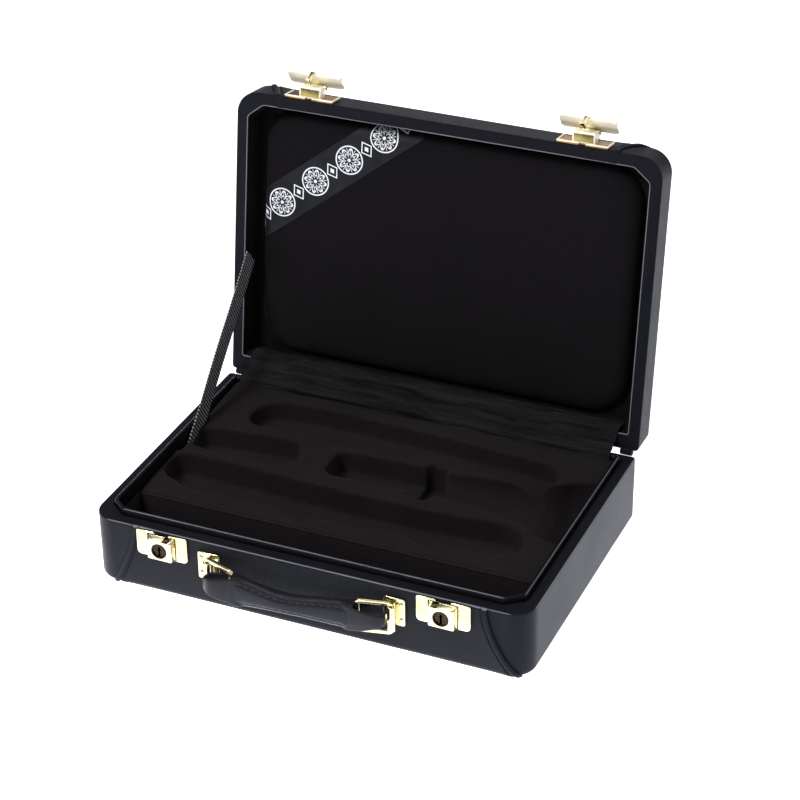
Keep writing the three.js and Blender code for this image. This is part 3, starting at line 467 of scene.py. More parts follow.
def leather(name, dark, light, rough=(0.34, 0.46), grain=0.5, spec=0.5, edge_highlight=None):
    """The last argument, (inset, z, colour), paints a rounded upper edge in a paler colour: a painted highlight along
    the edge.
    """
    m, nt, p = material(name)
    v = coords(nt)
    warp = node(nt, "ShaderNodeVectorMath", operation="MULTIPLY_ADD")
    nz = node(nt, "ShaderNodeTexNoise")
    val(nz, Scale=900.0, Detail=2.0)
    link(nt, v, nz.inputs["Vector"])
    link(nt, nz.outputs["Color"], warp.inputs[0])
    warp.inputs[1].default_value = (0.0006, 0.0006, 0.0006)
    link(nt, v, warp.inputs[2])
    vor = node(nt, "ShaderNodeTexVoronoi", feature="DISTANCE_TO_EDGE")
    val(vor, Scale=1250.0, Randomness=0.9)
    link(nt, warp.outputs[0], vor.inputs["Vector"])
    cells = span(nt, vor.outputs["Distance"], 0.0, 1.0, 0.0, 0.22)
    fine = noise(nt, v, 3800.0, 2.0)
    broad = noise(nt, v, 16.0, 3.0, 0.6)
    height = mathn(nt, "MULTIPLY_ADD", fine, 0.35, cells)
    link(nt, bump(nt, height, grain, 0.0003), p.inputs["Normal"])
    tone = mathn(nt, "MULTIPLY_ADD", broad, 0.7, mathn(nt, "MULTIPLY", cells, 0.3))
    colour = ramp(nt, tone, [(0.2, dark), (0.8, light)])
    # painted highlight: a narrow pale band on the outer rounded upper edge, mixed into the base colour
    if edge_highlight:
        inset, top, pale = edge_highlight
        sep = node(nt, "ShaderNodeSeparateXYZ")
        link(nt, v, sep.inputs[0])
        dx = mathn(nt, "SUBTRACT", mathn(nt, "ABSOLUTE", sep.outputs["X"]), (HX - inset) * MM)
        dy = mathn(nt, "SUBTRACT", mathn(nt, "ABSOLUTE", sep.outputs["Y"]), (HY - inset) * MM)
        out_ = span(nt, mathn(nt, "MAXIMUM", dx, dy), 0.0, 1.0, -0.0009, -0.0004)
        up_ = span(nt, sep.outputs["Z"], 0.0, 1.0, (top - 0.75) * MM, (top - 0.45) * MM)
        highlight_mask = mathn(nt, "MULTIPLY", mathn(nt, "MULTIPLY", out_, up_), span(nt, fine, 0.6, 1.0, 0.3, 0.7))
        mix = node(nt, "ShaderNodeMix", data_type="RGBA")
        link(nt, highlight_mask, mix.inputs["Factor"])
        link(nt, colour, mix.inputs[6])
        mix.inputs[7].default_value = (*pale, 1)
        colour = mix.outputs[2]
    link(nt, colour, p.inputs["Base Color"])
    link(nt, span(nt, mathn(nt, "ADD", broad, mathn(nt, "MULTIPLY", fine, 0.3)), rough[0], rough[1], 0.3, 0.95), p.inputs["Roughness"])
    p.inputs["Specular IOR Level"].default_value = spec
    p.inputs["Specular Tint"].default_value = (0.84, 0.88, 1.0, 1)
    return m


def velvet(name, dark, light, sheen, tint, scale=1.0):
    m, nt, p = material(name)
    v = coords(nt)
    broad = noise(nt, v, 14.0 * scale, 4.0, 0.6, 0.4)
    fine = noise(nt, v, 1150.0, 3.0, 0.75)
    mid = noise(nt, v, 260.0, 3.0, 0.6)
    tone = mathn(nt, "ADD", mathn(nt, "MULTIPLY", broad, 0.3), mathn(nt, "MULTIPLY_ADD", fine, 0.55, mathn(nt, "MULTIPLY", mid, 0.15)))
    link(nt, ramp(nt, tone, [(0.32, dark), (0.68, light)]), p.inputs["Base Color"])
    height = mathn(nt, "MULTIPLY_ADD", mid, 1.6, fine)
    link(nt, bump(nt, height, 0.5, 0.0003), p.inputs["Normal"])
    p.inputs["Roughness"].default_value = 0.92
    p.inputs["Specular IOR Level"].default_value = 0.15
    p.inputs["Sheen Weight"].default_value = sheen
    p.inputs["Sheen Roughness"].default_value = 0.38
    p.inputs["Sheen Tint"].default_value = (*tint, 1)
    return m


def metal(name, color, dark, rough=(0.12, 0.24), worn=0.5):
    m, nt, p = material(name)
    v = coords(nt)
    broad = noise(nt, v, 45.0, 4.0, 0.6, 0.3)
    fine = noise(nt, v, 2200.0, 2.0, 0.6)
    brushed = noise(nt, coords(nt, scale=(0.15, 1.0, 1.0)), 3000.0, 2.0)
    link(nt, ramp(nt, broad, [(0.28, dark), (0.28 + 0.45 * worn, color)]), p.inputs["Base Color"])
    link(nt, span(nt, mathn(nt, "MULTIPLY_ADD", fine, 0.35, broad), rough[0], rough[1], 0.35, 0.95), p.inputs["Roughness"])
    link(nt, bump(nt, mathn(nt, "ADD", brushed, mathn(nt, "MULTIPLY", broad, 0.6)), 0.06, 0.0001), p.inputs["Normal"])
    p.inputs["Metallic"].default_value = 1.0
    return m


# the base covers carry a painted highlight along the rim's outer edge
LEATHER = leather("leather_panels", (0.0065, 0.0068, 0.0095), (0.012, 0.0125, 0.0165), rough=(0.24, 0.36), spec=0.07, edge_highlight=(0.0, BASE_H, (0.24, 0.25, 0.275)))
LEATHER_LID = leather("leather_lid", (0.0065, 0.0068, 0.0095), (0.012, 0.0125, 0.0165), rough=(0.24, 0.36), spec=0.04)
# the tongue leather carries a painted highlight along its top outer edge
LEATHER_RIM = leather("leather_rim", (0.004, 0.004, 0.0055), (0.008, 0.008, 0.0105), rough=(0.20, 0.30), grain=0.25, spec=0.16, edge_highlight=(LIP_OUT, BASE_H + LIP_H, (0.2, 0.207, 0.23)))
LEATHER_GRIP = leather("leather_handle", (0.009, 0.009, 0.0115), (0.017, 0.017, 0.0205), rough=(0.22, 0.32), grain=0.3, spec=0.15)
VELVET = velvet("velvet_tray", (0.0036, 0.0028, 0.0032), (0.0155, 0.0118, 0.0136), 0.10, (0.42, 0.33, 0.38))
VELVET_LID = velvet("velvet_lid", (0.0020, 0.0015, 0.0020), (0.0052, 0.0040, 0.0050), 0.015, (0.42, 0.34, 0.4))
VELVET_DARK = velvet("velvet_trough", (0.006, 0.0046, 0.006), (0.016, 0.012, 0.0145), 0.14, (0.4, 0.33, 0.36))
GILT = metal("gilt_brass", (0.78, 0.70, 0.42), (0.64, 0.56, 0.31), rough=(0.10, 0.2))
GILT_BLOCK = metal("gilt_block", (0.95, 0.87, 0.55), (0.84, 0.75, 0.44), rough=(0.14, 0.26))
# a pale, mostly diffuse copy of the brass that the lamps light near white: a painted highlight, used on the hasp flaps,
# plate borders and spring housings
GILT_PAINTED_HIGHLIGHT = metal("gilt_painted_highlight", (0.99, 0.94, 0.77), (0.93, 0.87, 0.68), rough=(0.30, 0.42))
GILT_PAINTED_HIGHLIGHT.node_tree.nodes["Principled BSDF"].inputs["Metallic"].default_value = 0.25
# a dark olive copy of the brass for the spring housing's rim-side face: painted shade
GILT_PAINTED_FRONT_SHADE = metal("gilt_painted_front_shade", (0.42, 0.34, 0.13), (0.20, 0.15, 0.05), rough=(0.25, 0.4))
# a brown copy of the brass for the lid plates: painted shade in the recesses beside the housing
GILT_PAINTED_SHADE = metal("gilt_painted_shade", (0.36, 0.20, 0.08), (0.16, 0.08, 0.03), rough=(0.25, 0.4))
BARREL = metal("lock_barrel_dark", (0.05, 0.036, 0.024), (0.012, 0.010, 0.008), rough=(0.25, 0.4))
STEEL = metal("spring_steel", (0.72, 0.72, 0.74), (0.5, 0.5, 0.52), rough=(0.2, 0.35))


def wood_material():
    m, nt, p = material("plywood")
    v = coords(nt, scale=(1.0, 14.0, 14.0))
    grain = noise(nt, v, 30.0, 5.0, 0.6, 0.8)
    link(nt, ramp(nt, grain, [(0.3, (0.22, 0.13, 0.065)), (0.7, (0.45, 0.30, 0.17))]), p.inputs["Base Color"])
    link(nt, span(nt, grain, 0.55, 0.75), p.inputs["Roughness"])
    link(nt, bump(nt, grain, 0.15, 0.0003), p.inputs["Normal"])
    return m


def thread_material():
    m, nt, p = material("thread")
    v = coords(nt)
    n = noise(nt, v, 5200.0, 2.0)
    link(nt, ramp(nt, n, [(0.3, (0.008, 0.008, 0.009)), (0.7, (0.022, 0.022, 0.024))]), p.inputs["Base Color"])
    link(nt, bump(nt, n, 0.4, 0.0001), p.inputs["Normal"])
    p.inputs["Roughness"].default_value = 0.7
    return m


def webbing_material():
    """Twill tape: diagonal ribs 3 mm apart, in the strap's own u, v."""
    m, nt, p = material("webbing_twill")
    t = node(nt, "ShaderNodeUVMap", uv_map="cloth")
    sep = node(nt, "ShaderNodeSeparateXYZ")
    link(nt, t.outputs["UV"], sep.inputs[0])
    u, v = sep.outputs["X"], sep.outputs["Y"]
    diag = mathn(nt, "ADD", u, mathn(nt, "MULTIPLY", v, -0.22))
    rib = mathn(nt, "SINE", mathn(nt, "MULTIPLY", diag, 2 * math.pi / 0.0026))
    yarn = mathn(nt, "SINE", mathn(nt, "MULTIPLY", v, 2 * math.pi / 0.00062))
    cross = mathn(nt, "SINE", mathn(nt, "MULTIPLY", u, 2 * math.pi / 0.0008))
    fuzz = noise(nt, coords(nt), 3500.0, 2.0)
    h = mathn(nt, "ADD", rib, mathn(nt, "MULTIPLY", mathn(nt, "ADD", yarn, cross), 0.1))
    tone = mathn(nt, "MULTIPLY_ADD", fuzz, 0.4, mathn(nt, "MULTIPLY_ADD", rib, 0.42, 0.30))
    link(nt, ramp(nt, tone, [(0.3, (0.002, 0.002, 0.0025)), (0.75, (0.34, 0.34, 0.36))]), p.inputs["Base Color"])
    link(nt, bump(nt, h, 0.8, 0.00035), p.inputs["Normal"])
    p.inputs["Roughness"].default_value = 0.75
    return m


def ribbon_material():
    """Satin with a woven silver pattern: eight-petalled rosettes in a row with lozenges."""
    m, nt, p = material("satin_ribbon")
    t = node(nt, "ShaderNodeUVMap", uv_map="cloth")
    sep = node(nt, "ShaderNodeSeparateXYZ")
    link(nt, t.outputs["UV"], sep.inputs[0])
    u = mathn(nt, "MULTIPLY", sep.outputs["X"], 1000.0)
    v = mathn(nt, "MULTIPLY", sep.outputs["Y"], 1000.0)

    def near(x, centre, half, soft=0.12):
        d = mathn(nt, "ABSOLUTE", mathn(nt, "SUBTRACT", x, centre))
        return span(nt, d, 1.0, 0.0, half - soft, half + soft)

    # rosettes every 34 mm
    cell = mathn(nt, "SUBTRACT", mathn(nt, "WRAP", u, 34.0, 0.0), 17.0)
    r = mathn(nt, "SQRT", mathn(nt, "ADD", mathn(nt, "MULTIPLY", cell, cell), mathn(nt, "MULTIPLY", v, v)))
    a = mathn(nt, "ARCTAN2", v, cell)
    petal = mathn(nt, "ABSOLUTE", mathn(nt, "COSINE", mathn(nt, "MULTIPLY", a, 4.0)))
    edge = mathn(nt, "MULTIPLY_ADD", petal, 4.4, 4.2)
    d1 = mathn(nt, "ABSOLUTE", mathn(nt, "SUBTRACT", r, edge))
    outline = span(nt, d1, 1.0, 0.0, 0.5, 0.9)
    edge2 = mathn(nt, "MULTIPLY_ADD", petal, 2.6, 2.4)
    inner = span(nt, mathn(nt, "ABSOLUTE", mathn(nt, "SUBTRACT", r, edge2)), 1.0, 0.0, 0.25, 0.6)
    core = span(nt, r, 1.0, 0.0, 1.1, 1.5)
    ringm = near(r, 10.6, 0.5)
    spokes = mathn(nt, "MULTIPLY", span(nt, mathn(nt, "ABSOLUTE", mathn(nt, "SINE", mathn(nt, "MULTIPLY", a, 8.0))), 1.0, 0.0, 0.12, 0.3), near(r, 7.0, 2.2))
    # a lozenge chain between the rosettes
    c2 = mathn(nt, "SUBTRACT", mathn(nt, "WRAP", mathn(nt, "ADD", u, 17.0), 34.0, 0.0), 17.0)
    loz = mathn(nt, "ADD", mathn(nt, "ABSOLUTE", c2), mathn(nt, "MULTIPLY", mathn(nt, "ABSOLUTE", v), 0.75))
    lozm = mathn(nt, "ADD", near(loz, 4.6, 0.5), span(nt, loz, 1.0, 0.0, 1.6, 2.0))
    mask = outline
    for x in (inner, core, ringm, spokes, lozm):
        mask = mathn(nt, "MAXIMUM", mask, x)
    weave = noise(nt, coords(nt), 5200.0, 2.0, 0.7)
    mask = mathn(nt, "MULTIPLY", mask, span(nt, weave, 0.6, 1.0, 0.3, 0.55))
    base = ramp(nt, noise(nt, coords(nt), 60.0, 3.0), [(0.3, (0.0065, 0.007, 0.0095)), (0.7, (0.0125, 0.0135, 0.0175))])
    mix = node(nt, "ShaderNodeMix", data_type="RGBA")
    link(nt, mask, mix.inputs["Factor"])
    link(nt, base, mix.inputs["A"])
    mix.inputs["B"].default_value = (0.95, 0.96, 1.0, 1)
    link(nt, mix.outputs["Result"], p.inputs["Base Color"])
    lines = mathn(nt, "SINE", mathn(nt, "MULTIPLY", v, 2 * math.pi / 0.35))
    link(nt, bump(nt, mathn(nt, "ADD", mathn(nt, "MULTIPLY", lines, 0.3), mathn(nt, "MULTIPLY", mask, 1.2)), 0.35, 0.00015), p.inputs["Normal"])
    p.inputs["Roughness"].default_value = 0.5
    p.inputs["Specular IOR Level"].default_value = 0.15
    p.inputs["Sheen Weight"].default_value = 0.03
    p.inputs["Sheen Roughness"].default_value = 0.3
    return m


def crinkled_material():
    """Lining cloth with creases that run along the hinge, its colour painted lighter on the crease ridges and darker in
    their hollows.
    """
    m, nt, p = material("crinkled_lining")
    v = coords(nt, scale=(0.1, 1.0, 1.0))
    crease = noise(nt, v, 210.0, 3.0, 0.6, 0.5)
    broad = noise(nt, coords(nt, scale=(0.25, 1.0, 1.0)), 90.0, 2.0)
    fine = noise(nt, coords(nt), 2600.0, 2.0, 0.7)
    h = mathn(nt, "ADD", mathn(nt, "MULTIPLY", crease, 1.0), mathn(nt, "MULTIPLY", broad, 0.7))
    # painted light and shade: the colour follows the crease height
    tone = mathn(nt, "MULTIPLY_ADD", fine, 0.25, mathn(nt, "MULTIPLY", h, 0.45))
    link(nt, ramp(nt, tone, [(0.38, (0.0018, 0.0016, 0.0018)), (0.62, (0.013, 0.0115, 0.013))]), p.inputs["Base Color"])
    link(nt, bump(nt, mathn(nt, "MULTIPLY_ADD", fine, 0.05, h), 0.9, 0.0022), p.inputs["Normal"])
    p.inputs["Roughness"].default_value = 0.8
    p.inputs["Specular IOR Level"].default_value = 0.12
    p.inputs["Sheen Weight"].default_value = 0.08
    p.inputs["Sheen Roughness"].default_value = 0.35
    p.inputs["Sheen Tint"].default_value = (0.45, 0.4, 0.45, 1)
    return m


CRINKLED = crinkled_material()
WOOD, THREAD, WEBBING, SATIN = wood_material(), thread_material(), webbing_material(), ribbon_material()


def carry(name, mat):
    """A CAD node that stays gets a procedural material."""
    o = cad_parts[name]
    o.data.materials.clear()
    o.data.materials.append(mat)


for n in ("base_shell", "lid_shell"):
    carry(n, WOOD)
for n in ("hinge_left_pin", "hinge_right_pin", "lock_spring_left", "lock_spring_right"):
    carry(n, STEEL)
carry("strap_anchor", GILT)

# ------------------------------------------------------------------ outlines of the case
A_, Q_ = HX - CORNER_R, CORNER_R * math.pi / 2
AB_, QB_ = HX - BACK_R, BACK_R * math.pi / 2
B0, B1 = -(HY - CORNER_R), HY - BACK_R
S_C0 = A_ + Q_ + B1 - B0  # the back corner starts and ends here
S_C1 = S_C0 + QB_
PERIM = 2 * (S_C1 + AB_)


def squeeze(v, lo_, end0, end1):
    return np.where(v > lo_, lo_ + (v - lo_) * (end1 - lo_) / (end0 - lo_), v)


def plan(s, inset, out=0.0):
    """x, y on the case's plan at an inset, s mm from the front's middle towards +X; out moves the
    back edge outwards."""
    s = np.mod(np.asarray(s, float), PERIM)
    left = s > PERIM / 2
    t = np.where(left, PERIM - s, s)
    rf, rb = max(CORNER_R - inset, 0.8), max(BACK_R - inset, 0.4)
    xe, ye = HX - inset - rb, HY - inset - rb
    f = np.clip((t - A_) / Q_, 0, 1) * math.pi / 2
    g = np.clip((t - S_C0) / QB_, 0, 1) * math.pi / 2
    sel = [t <= A_, t <= A_ + Q_, t <= S_C0, t <= S_C1]
    x = np.select(sel, [t, A_ + rf * np.sin(f), np.full_like(t, HX - inset), xe + rb * np.cos(g)],
                  squeeze(AB_ - (t - S_C1), 140.0, AB_, xe))
    y = np.select(sel, [np.full_like(t, -HY + inset), B0 - rf * np.cos(f), squeeze(B0 + t - A_ - Q_, 90.0, B1, ye),
                        ye + rb * np.sin(g)], HY - inset)
    y = y + out * np.clip((y - 90.0) / 14.0, 0, 1)
    return np.where(left, -x, x), y


def s_front(x):
    x = np.asarray(x, float)
    over = np.clip((np.abs(x) - A_) / CORNER_R, 0, 1)
    return np.sign(x) * np.where(np.abs(x) <= A_, np.abs(x), A_ + CORNER_R * np.arcsin(over))


def at(s, inset, z, w=0.0, lid=False):
    """Point on the case at s, with an inset and a height; w > 0 pulls it to the clipped rim line."""
    out = LID_LEAN * min(max((LID_Z1 - z) / (LID_Z1 - LID_Z0), 0), 1) * (1 - w) if lid else 0.0
    x, y = plan(s, inset, out)
    if w > 0:
        nx, ny = 0.621, 0.784
        i = 8.7
        d = 7.45 + (LIP_OUT - i) * (nx + ny - 1)
        g = nx * np.abs(x) - ny * y - (nx * (HX - i) + ny * (HY - i) - d)
        g = np.maximum(g, 0) * w
        x, y = x - np.sign(x) * nx * g, y + ny * g
    return np.stack([x, y, np.broadcast_to(z, x.shape)], -1)


CLIP_N = 40


def clip_outline(inset, rho=2.2, dense=3.0):
    """The clipped rectangle of the tongue and linings, evenly divided, the same count for any inset."""
    nx, ny = 0.621, 0.784
    hx, hy = HX - inset, HY - inset
    d = 7.45 + (LIP_OUT - inset) * (nx + ny - 1)
    cx, cy = d / nx, d / ny
    e = 1.1
    corners = [
        (hx, -hy + cy), (hx, hy - e), (hx - e, hy), (-hx + e, hy),
        (-hx, hy - e), (-hx, -hy + cy), (-hx + cx, -hy), (hx - cx, -hy),
    ]
    rhos = [rho, 0.6, 0.6, 0.6, 0.6, rho, rho, rho]
    C = np.array(corners)
    m = len(C)
    counts = [64, 6, 96, 6, 64, 6, 96, 6]
    out = []
    for i in range(m):
        p0, p1, p2 = C[i - 1], C[i], C[(i + 1) % m]
        a, b = (p0 - p1) / np.linalg.norm(p0 - p1), (p2 - p1) / np.linalg.norm(p2 - p1)
        s, e = p1 + a * rhos[i], p1 + b * rhos[i]
        for t in np.linspace(0, 1, 5):
            out.append((1 - t) ** 2 * s + 2 * t * (1 - t) * p1 + t * t * e)
        e2 = p2 + (p1 - p2) / np.linalg.norm(p1 - p2) * rhos[(i + 1) % m]
        for t in np.linspace(0, 1, counts[i] + 1)[1:-1]:
            out.append(e * (1 - t) + e2 * t)
    return np.array(out)


def ring_loft(rows):
    """rows: (inset, z). Closed loft round the clipped outline; closes on itself."""
    return np.stack([np.column_stack([clip_outline(i), np.full(len(clip_outline(i)), z)]) for i, z in rows], 1)


# ------------------------------------------------------------------ leather covers
def seam_base_l(z, i):
    return -(130.5 + 20 * np.clip((BASE_H - z) / BASE_H, 0, 1) ** 1.45) + 0.24 * np.where(z >= BASE_H - 0.01, np.clip(i - 1.2, 0, 8), 0)


def seam_base_r(z, i):
    return 135.4 + 25.4 * np.clip((BASE_H - z) / BASE_H, 0, 1) ** 1.8 - 0.22 * np.where(z >= BASE_H - 0.01, np.clip(i - 1.2, 0, 8), 0)


def seam_lid_l(z, i):
    return -(134.5 + 17 * np.clip((z - LID_Z0) / (LID_Z1 - LID_Z0), 0, 1) ** 1.3) + 0.15 * np.where(z <= LID_Z0 + 0.01, np.clip(i - 1.2, 0, 8), 0)


def seam_lid_r(z, i):
    return 132 + 18 * np.clip((z - LID_Z0) / (LID_Z1 - LID_Z0), 0, 1) ** 3.2 - 0.1 * np.where(z <= LID_Z0 + 0.01, np.clip(i - 1.2, 0, 8), 0)


SEAM_D = np.array([0, 0.12, 0.3, 0.6, 1.0, 1.6, 2.3, 3.0, 3.6, 4.1, 4.4, 4.65, 4.9, 5.2, 5.6, 6.2, 7.0, 8.0, 9.5, 11.5, 14.0, 17.0])


def seam_lift(d):
    """Height of the overlapping leather at a distance from its cut edge."""
    edge = -0.75 * (1 - np.sqrt(np.clip(1 - (1 - np.clip(d / 0.6, 0, 1)) ** 2, 0, 1)))
    swell = 1.05 * np.exp(-((d / 9.0) ** 2)) + 0.65 * np.exp(-(((d - 2.3) / 1.2) ** 2))
    groove = -0.9 * np.exp(-(((d - 4.65) / 0.65) ** 2))
    return edge + swell + groove


def quarter(r, n, x0, z0, sx, sz, start="x"):
    """Rows of a rounded edge from (x0+.., z0) shapes; helper for profiles."""
    out = []
    for k in range(n + 1):
        a = math.pi / 2 * k / n
        out.append((r * (1 - math.sin(a)), r * (1 - math.cos(a))))
    return out


RIM_R = 1.0
BASE_ROWS = (
    [(14.2, 0.0, 0.0), (11.0, 0.0, 0.0), (8.0, 0.0, 0.0), (6.0, 0.0, 0.0)]
    + [(EDGE_R * (1 - math.sin(a)), EDGE_R * (1 - math.cos(a)), 0.0) for a in np.linspace(0, math.pi / 2, 8)]
    + [(0.0, z, 0.0) for z in np.linspace(EDGE_R, BASE_H - RIM_R, 24)[1:]]
    + [(RIM_R * (1 - math.cos(a)), BASE_H - RIM_R * (1 - math.sin(a)), 0.0) for a in np.linspace(0, math.pi / 2, 5)[1:]]
    + [(i, BASE_H, (i - RIM_R) / (8.4 - RIM_R)) for i in np.linspace(RIM_R, 8.4, 8)[1:]]
    + [(8.75, BASE_H - 0.15, 1.0), (8.95, BASE_H - 0.6, 1.0), (9.0, BASE_H - 2.2, 1.0)]
)
LID_ROWS = (
    [(9.0, LID_Z0 + 2.6, 1.0), (8.95, LID_Z0 + 0.7, 1.0), (8.75, LID_Z0 + 0.18, 1.0)]
    + [(i, LID_Z0, (i - RIM_R) / (8.4 - RIM_R)) for i in np.linspace(8.4, RIM_R, 8)]
    + [(RIM_R * (1 - math.sin(a)), LID_Z0 + RIM_R * (1 - math.cos(a)), 0.0) for a in np.linspace(0, math.pi / 2, 5)[1:]]
    + [(0.0, z, 0.0) for z in np.linspace(LID_Z0 + RIM_R, LID_Z1 - EDGE_R, 14)[1:]]
    + [(EDGE_R * (1 - math.cos(a)), LID_Z1 - EDGE_R * (1 - math.sin(a)), 0.0) for a in np.linspace(0, math.pi / 2, 8)[1:]]
)


def seam_s(rows, fn):
    return np.array([float(s_front(fn(z, i))) for i, z, w in rows])


def seam_x(rows, fn):
    return np.array([float(fn(z, i)) for i, z, w in rows])


def end_s(rows, fn, side):
    """s over an end wall, from under the front seam, round the back corner, to the back seam."""
    S = []
    for a, x in zip(np.abs(seam_s(rows, fn)), np.abs(seam_x(rows, fn))):
        s = np.concatenate([
            np.linspace(a - 6.0, S_C0, 112)[:-1],
            np.linspace(S_C0, S_C1, 10)[:-1],
            np.linspace(S_C1, PERIM / 2 - x + 6.0, 30),
        ])
        S.append(s if side > 0 else PERIM - s[::-1])
    S = np.array(S).T
    mid = S[:, 20]
    return S, np.minimum(mid - mid[0], mid[-1] - mid)


def secant(rows, s):
    """Stretch of distances along s at a slanting seam."""
    z = np.array([r[1] for r in rows])
    i = np.array([r[0] for r in rows])
    q = np.concatenate([[0], np.cumsum(np.hypot(np.diff(z), np.diff(i)))])
    k = np.gradient(s, q)
    return np.sqrt(1 + np.clip(k, -1.5, 1.5) ** 2)


def middle_strip(rows, sl, sr, n_mid=70):
    """s grid and distances from both seams for the middle leather."""
    kl, kr = secant(rows, sl), secant(rows, sr)
    S, DL, DR = [], [], []
    for r in range(len(rows)):
        a = sl[r] + SEAM_D * kl[r]
        b = (sr[r] - SEAM_D * kr[r])[::-1]
        mid = np.linspace(a[-1], b[0], n_mid)[1:-1]
        s = np.concatenate([a, mid, b])
        S.append(s)
        DL.append((s - sl[r]) / kl[r])
        DR.append((sr[r] - s) / kr[r])
    return np.array(S).T, np.array(DL).T, np.array(DR).T


def on_rows(rows, S, lid=False):
    return np.stack([at(S[:, r], i, z, w, lid) for r, (i, z, w) in enumerate(rows)], 1)


def finish_cover(name, P, off, mat, body, node_, turn=None, t=1.2, rim_rows=None):
    N = normals(P)
    # pressed flat where base and lid meet and beside the tongue
    inset = np.minimum(HX - np.abs(P[..., 0]), HY - np.abs(P[..., 1]))
    off = np.where((inset > 8.5) & (np.abs(P[..., 2] - LID_Z0) < 3.2), np.minimum(off, 0.1), off)
    front = P + N * off[..., None]
    if body == "base":
        # the seams are pressed flat under the case, which stands on z = 0
        front[..., 2] = np.clip(front[..., 2], 0.0, BASE_H + 0.12)
    else:
        front[..., 2] = np.maximum(front[..., 2], LID_Z0 - 0.1)
    back = P - N * (t - np.minimum(off, 0))[..., None]
    V, F = slab(front, back)
    o = build(name, V, F, mat, body, (node_,) if node_ else (), "leather", turn=turn, angle=60)
    return o, front, N


def stitch_line(front, N, ks, pitch=3.3):
    """Stitches along grid column ks of a cover."""
    line, nn = front[ks], N[ks]
    d = np.concatenate([[0], np.cumsum(np.linalg.norm(np.diff(line, axis=0), axis=1))])
    n = int(d[-1] / pitch)
    s = (np.arange(n) + 0.5) * pitch
    P = np.stack([np.interp(s, d, line[:, k]) for k in range(3)], 1)
    U = np.stack([np.interp(s, d, nn[:, k]) for k in range(3)], 1)
    a = np.stack([np.interp(s + 0.5, d, line[:, k]) for k in range(3)], 1)
    b = np.stack([np.interp(s - 0.5, d, line[:, k]) for k in range(3)], 1)
    # none on the rims, where base and lid meet, or under the case
    keep = (np.abs(P[:, 2] - (BASE_H + LID_Z0) / 2) > 1.4) & (P[:, 2] > 0.7)
    return (P + U * 0.12)[keep], (a - b)[keep], U[keep]


def base_middle(name, node_, back):
    seam = seam_x if back else seam_s
    S, DL, DR = middle_strip(BASE_ROWS, seam(BASE_ROWS, seam_base_l), seam(BASE_ROWS, seam_base_r))
    if back:
        P = on_rows(BASE_ROWS, PERIM / 2 - S)[::-1]
        DL, DR = DL[::-1], DR[::-1]
    else:
        P = on_rows(BASE_ROWS, S)
    off = seam_lift(DL) + seam_lift(DR) - 0.0
    sag = fbm(P[..., 0] / 30, P[..., 2] / 30, 3) * 0.12
    o, front, N = finish_cover(name, P, off + sag, LEATHER, "base", node_)
    ks = [len(SEAM_D) - len(SEAM_D) + 11, P.shape[0] - 12]
    parts = [capsules(*stitch_line(front[:, 2:-2], N[:, 2:-2], k), length=2.3, r=0.34) for k in ks]
    V, F = merge(*parts)
    build(name + "_stitches", V, F, THREAD, "base", slot="leather")
    return o


base_middle("base_front_leather", "base_cover_front", False)
base_middle("base_back_leather", "base_cover_back", True)


def base_end(name, node_, side):
    S, under = end_s(BASE_ROWS, seam_base_l if side < 0 else seam_base_r, side)
    P = on_rows(BASE_ROWS, S)
    off = -0.55 * (1 - ss(3.0, 7.5, under))[:, None] * np.ones((1, P.shape[1]))
    off = off + fbm(P[..., 1] / 30, P[..., 2] / 30, 5) * 0.1
    finish_cover(name, P, off, LEATHER, "base", node_)


base_end("base_left_leather", "base_cover_left", -1)
base_end("base_right_leather", "base_cover_right", 1)


def scooped(P):
    """Leather pressed back round the hinge knuckles, then turned open."""
    P = np.array(P, float)
    y, z = P[:, 1] - HINGE_Y, P[:, 2] - HINGE_Z
    r = np.maximum(np.hypot(y, z), 1e-3)
    near = np.min([np.abs(P[:, 0] - c) for c in (-95.0, 95.0)], axis=0) < 23.8
    k = np.where(near & (r < 3.95), (3.5 + 0.11 * r) / r, 1.0)
    # away from the axis towards the wood
    y = np.where(near & (r < 3.95), -np.abs(y), y)
    P[:, 1], P[:, 2] = HINGE_Y + y * k, HINGE_Z + z * k
    return opened(P)


def lid_middle():
    rows = LID_ROWS
    S, DL, DR = middle_strip(rows, seam_s(rows, seam_lid_l), seam_s(rows, seam_lid_r), 150)
    S2, DL2, DR2 = middle_strip(rows, seam_x(rows, seam_lid_l), seam_x(rows, seam_lid_r), 150)
    Pf = on_rows(rows, S, lid=True)
    Pb = on_rows(rows, PERIM / 2 - S2, lid=True)[:, ::-1]
    n_top = 60
    t = np.linspace(0, 1, n_top + 2)[1:-1]
    top = Pf[:, -1:, :] * (1 - t)[None, :, None] + Pb[:, :1, :] * t[None, :, None]
    P = np.concatenate([Pf, top, Pb], 1)
    dl = np.concatenate([DL, np.repeat(DL[:, -1:], n_top, 1), DL2[:, ::-1]], 1)
    dr = np.concatenate([DR, np.repeat(DR[:, -1:], n_top, 1), DR2[:, ::-1]], 1)
    off = seam_lift(dl) + seam_lift(dr)
    crown = np.zeros_like(off)
    n = Pf.shape[1]
    cx = 1 - (P[:, n : n + n_top, 0] / 150) ** 2
    cy = 1 - (P[:, n : n + n_top, 1] / 106) ** 2
    crown[:, n : n + n_top] = 0.5 * np.clip(cx * cy, 0, 1) ** 0.5
    off = off + crown + fbm(P[..., 0] / 34, (P[..., 1] + P[..., 2]) / 34, 8) * 0.12
    o, front, N = finish_cover("lid_leather_centre", P, off, LEATHER_LID, "lid", "lid_cover_centre", turn=scooped)
    parts = [capsules(*stitch_line(front[:, 2:-2], N[:, 2:-2], k), length=2.3, r=0.34) for k in (11, P.shape[0] - 12)]
    V, F = merge(*parts)
    build("lid_leather_stitches", V, F, THREAD, "lid", slot="leather", turn=opened)


lid_middle()


